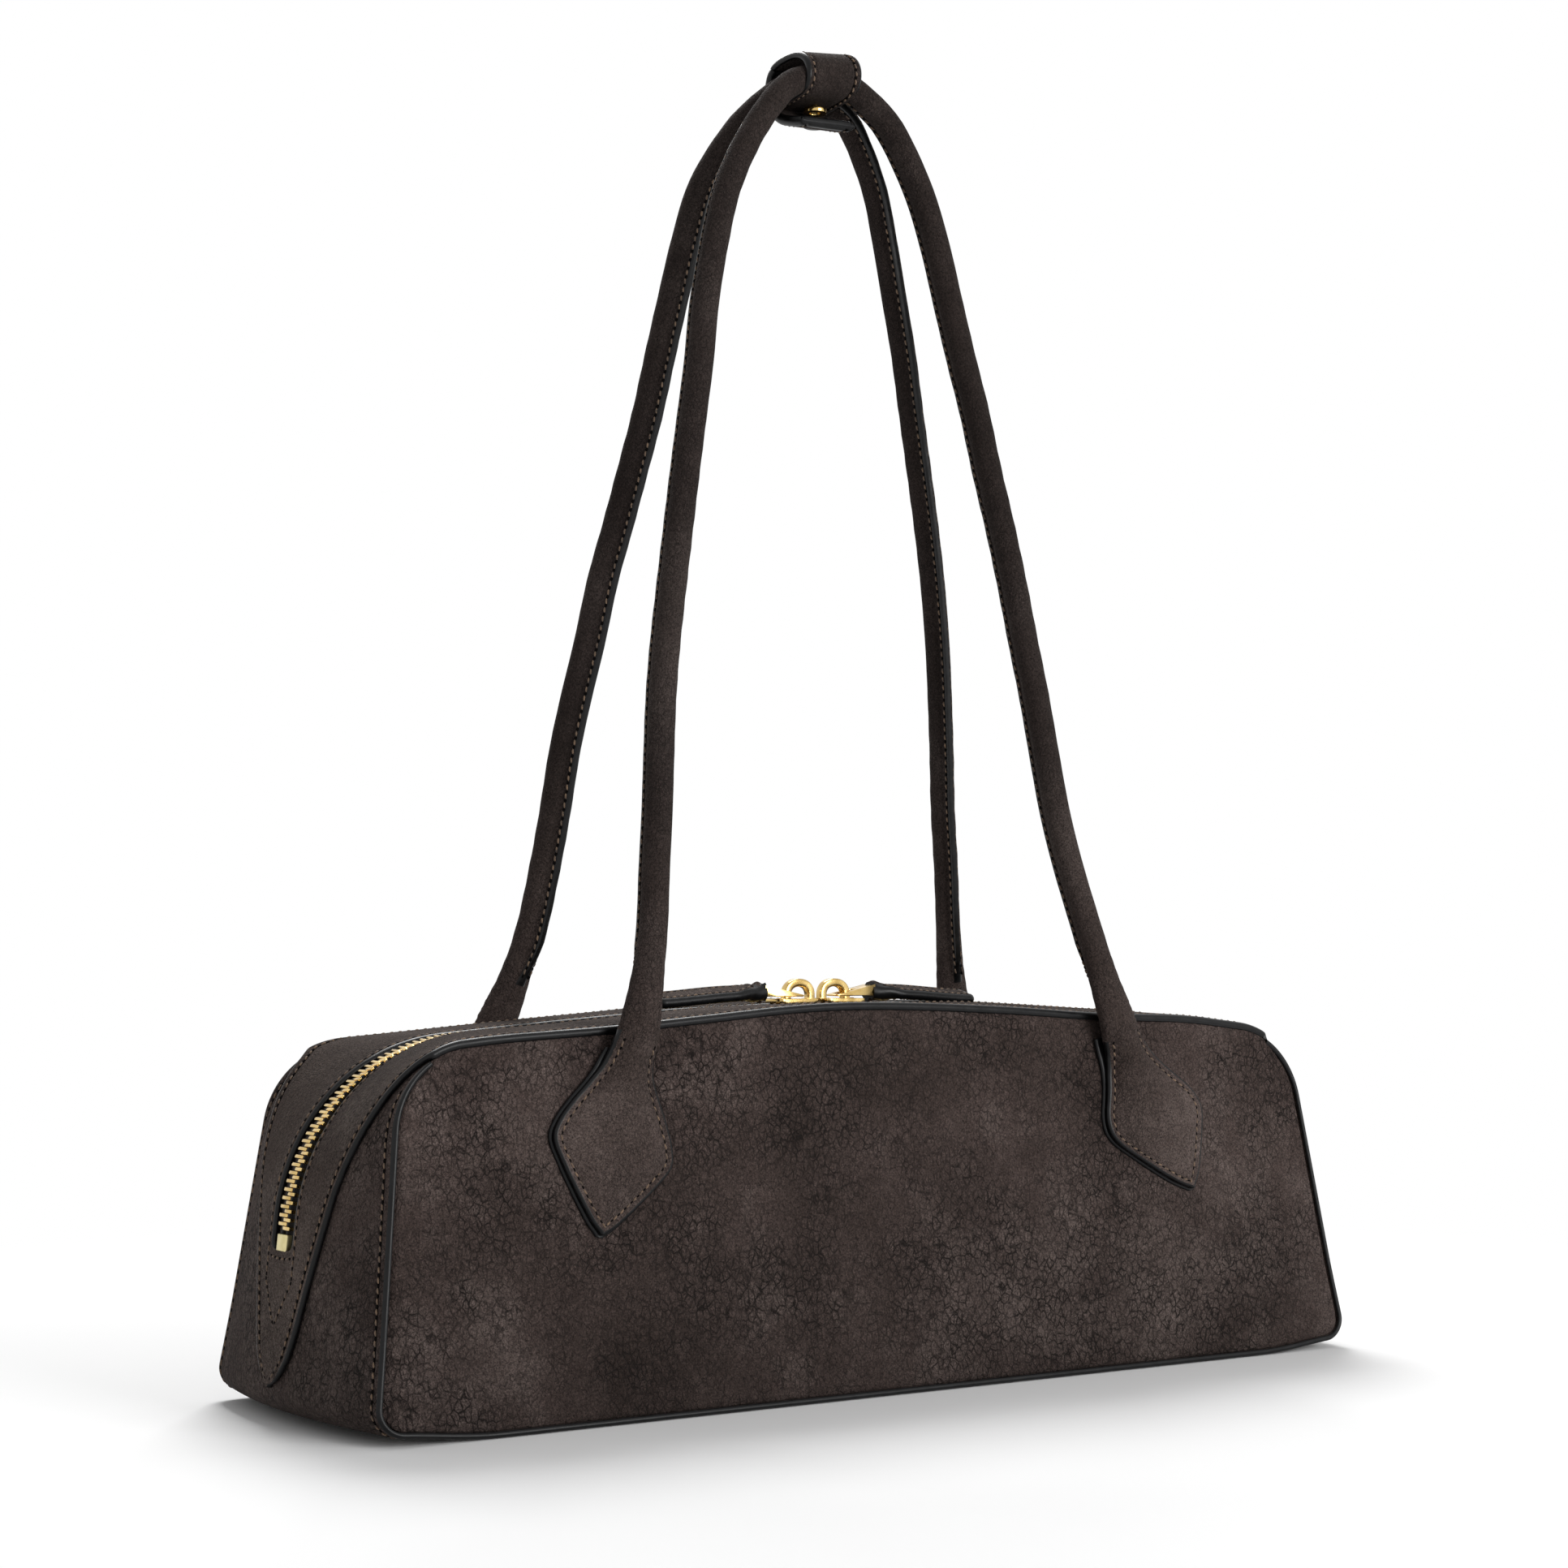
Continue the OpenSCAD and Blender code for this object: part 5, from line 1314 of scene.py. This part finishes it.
def teethQuarter(name, side, face):
    # one mesh of many teeth, each turned along the chain
    pitch = zipSize["pitch"]
    steps = np.arange(zipSize["from"] + (0 if face < 0 else pitch / 2), slotFootStep, pitch)
    here = settle(skin(side * atStep(steps), 0 * steps, chainRise(steps)))
    ahead = unit(settle(skin(side * atStep(steps + 0.5), 0 * steps, chainRise(steps + 0.5))) - here)
    inwards = np.tile([0, -1.0 * face, 0], (len(steps), 1))
    up = unit(np.cross(ahead, inwards))
    up *= np.sign(up[:, 2:3] + side * up[:, :1])
    points = np.concatenate([o + toothPoints @ a for o, a in zip(here, np.stack([ahead, inwards, up], 1))])
    faces = [[k * len(toothPoints) + i for i in f] for k in range(len(steps)) for f in toothFaces]
    piece = looseMesh(f"{name}_teeth_metal", points, faces, [brass])
    smooth(piece, meshing["metal"])
    return piece


def tapeQuarter(name, side, face):
    s = stations[middleZ > 52.4]
    first = atStep(zipSize["from"] - 4)
    s = np.concatenate([[first], s[s > first]])
    inner, outer, thick, cord = (zipSize[k] for k in ("tapeInner", "tapeOuter", "tapeThick", "cord"))
    bead = inner + cord
    flat = np.linspace(outer - 1, bead + cord, 6)
    beaded = [(bead + cord * np.cos(a), cord * np.sin(a)) for a in np.radians(np.linspace(-40, -320, 13))]
    section = np.array([(outer, -thick)] + [(y, -thick) for y in flat] + beaded
                       + [(y, -0.04) for y in flat[::-1]] + [(outer, -0.04), (outer, -thick)])
    y = face * section[None, :, 0] + 0 * s[:, None]
    # the beaded edge is carried up with the teeth
    carried = chainRise(np.interp(s, chainS, chainSteps))[:, None] * (1 - ease((np.abs(y) - 2.4) / 2.6))
    points = skin(side * s[:, None] + 0 * y, y, section[None, :, 1] + carried)
    return sheetGrid(f"{name}_tape_cloth", settle(points), [tapeCloth])


for side in (-1, 1):
    for face in (-1, 1):
        sideWord, faceWord = words(side, face)
        teeth = teethQuarter(f"{faceWord}_{sideWord}", side, face)
        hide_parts(f"{sideWord}_zip_teeth", f"{faceWord}_zip_teeth")
        openWithZip(teeth)
        tape = tapeQuarter(f"{faceWord}_{sideWord}", side, face)
        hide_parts(f"{sideWord}_zip_tape", f"{faceWord}_zip_tape")
        openWithZip(tape)
print("zip made")


# lining cloth inside, and the board under it
lining = {"behind": 2.9, "behindWalls": 0.4, "behindEnds": 0.2, "under": 3.4, "thick": 0.35, "lowest": 5.0,
          "wallLowest": 5.2, "crumple": 0.25}


def lineWith(name, points):
    wall = sheetGrid(name, settle(points), [liningCloth])
    solid = wall.modifiers.new("thickness", "SOLIDIFY")
    solid.thickness = lining["thick"] * mm
    solid.offset = 0
    applyAll(wall)
    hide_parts("lining")
    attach(wall, "shell")


for face, word in ((-1, "front"), (1, "back")):
    flat = patch(lambda s: panelOutline(s) * [0.985, 1] - [0, 1.2], 80, 30)
    x, z = flat[..., 0], np.maximum(flat[..., 1], lining["wallLowest"])
    crumple = lining["crumple"] * softWaves(x * 1.6, z * 1.6, face + 3)
    away = halfDepth(z) - lining["behind"] - lining["behindWalls"] + crumple
    lineWith(f"{word}_lining_cloth", np.stack([x, face * away, z], -1))
half = edgeDepth(gussetStations) - lining["behind"] - lining["behindEnds"]
y = half[:, None] * np.linspace(-1, 1, 26)[None]
points = gussetPoints(y, -lining["under"] + 0 * y)
points[..., 2] = np.maximum(points[..., 2], lining["lowest"])
lineWith("end_lining_cloth", points)
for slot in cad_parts["base_board"].material_slots:
    slot.material = boardMaterial
print("inside made")


# floor, backdrop and light
stage = {"floor": 24, "below": -0.0002, "white": 0.93, "whiteFrom": 0.29, "whiteTo": 0.56, "fillLight": 0.41}


def seenDirectly(tree):
    # 1 for the camera and for mirror reflections, 0 for light that falls on the bag
    path = add(tree, "ShaderNodeLightPath").outputs
    return maths(tree, "MAXIMUM", path["Is Camera Ray"], path["Is Glossy Ray"])


deselectAll()
bpy.ops.mesh.primitive_plane_add(size=stage["floor"], location=(0, 0, stage["below"]))
floor = bpy.context.object
floor.name = "floor"
material, tree, shader = newMaterial("floorWhite", Base_Color=grey(stage["white"]), Roughness=0.9,
                                     Specular_IOR_Level=0.1)
place = add(tree, "ShaderNodeTexCoord")
length = add(tree, "ShaderNodeVectorMath", {0: place.outputs["Object"]}, operation="LENGTH").outputs["Value"]
far = remap(tree, length, stage["whiteFrom"], stage["whiteTo"], 0, 1, interpolation_type="SMOOTHSTEP")
glow = add(tree, "ShaderNodeEmission", {"Color": grey(1), "Strength": 1.0})
blend = add(tree, "ShaderNodeMixShader", {0: maths(tree, "MULTIPLY", far, seenDirectly(tree)),
                                          1: shader.outputs[0], 2: glow.outputs[0]})
tree.links.new(blend.outputs[0], tree.nodes["Material Output"].inputs["Surface"])
floor.data.materials.append(material)

world = bpy.data.worlds.new("studio")
bpy.context.scene.world = world
world.use_nodes = True
tree = world.node_tree
background = tree.nodes["Background"]
background.inputs["Color"].default_value = grey(1)
tree.links.new(remap(tree, seenDirectly(tree), 0, 1, stage["fillLight"], 1.0), background.inputs["Strength"])

lamps = [
    {"name": "key", "place": (0.5, -1.95, 0.6), "size": 1.0, "power": 32},
    {"name": "fill", "place": (-1.8, -0.3, 0.9), "size": 1.2, "power": 0.8},
    {"name": "top", "place": (0.45, 1.0, 1.6), "size": 0.9, "power": 29},
]
lampsLookAt = Vector((0, 0, 0.15))
for lamp in lamps:
    data = bpy.data.lights.new(lamp["name"], "AREA")
    data.size = lamp["size"]
    data.energy = lamp["power"]
    light = bpy.data.objects.new(lamp["name"], data)
    bpy.context.scene.collection.objects.link(light)
    light.location = lamp["place"]
    light.rotation_mode = "QUATERNION"
    light.rotation_quaternion = (lampsLookAt - light.location).to_track_quat("-Z", "Y")
bpy.context.scene.view_settings.view_transform = "Standard"
print("light set")
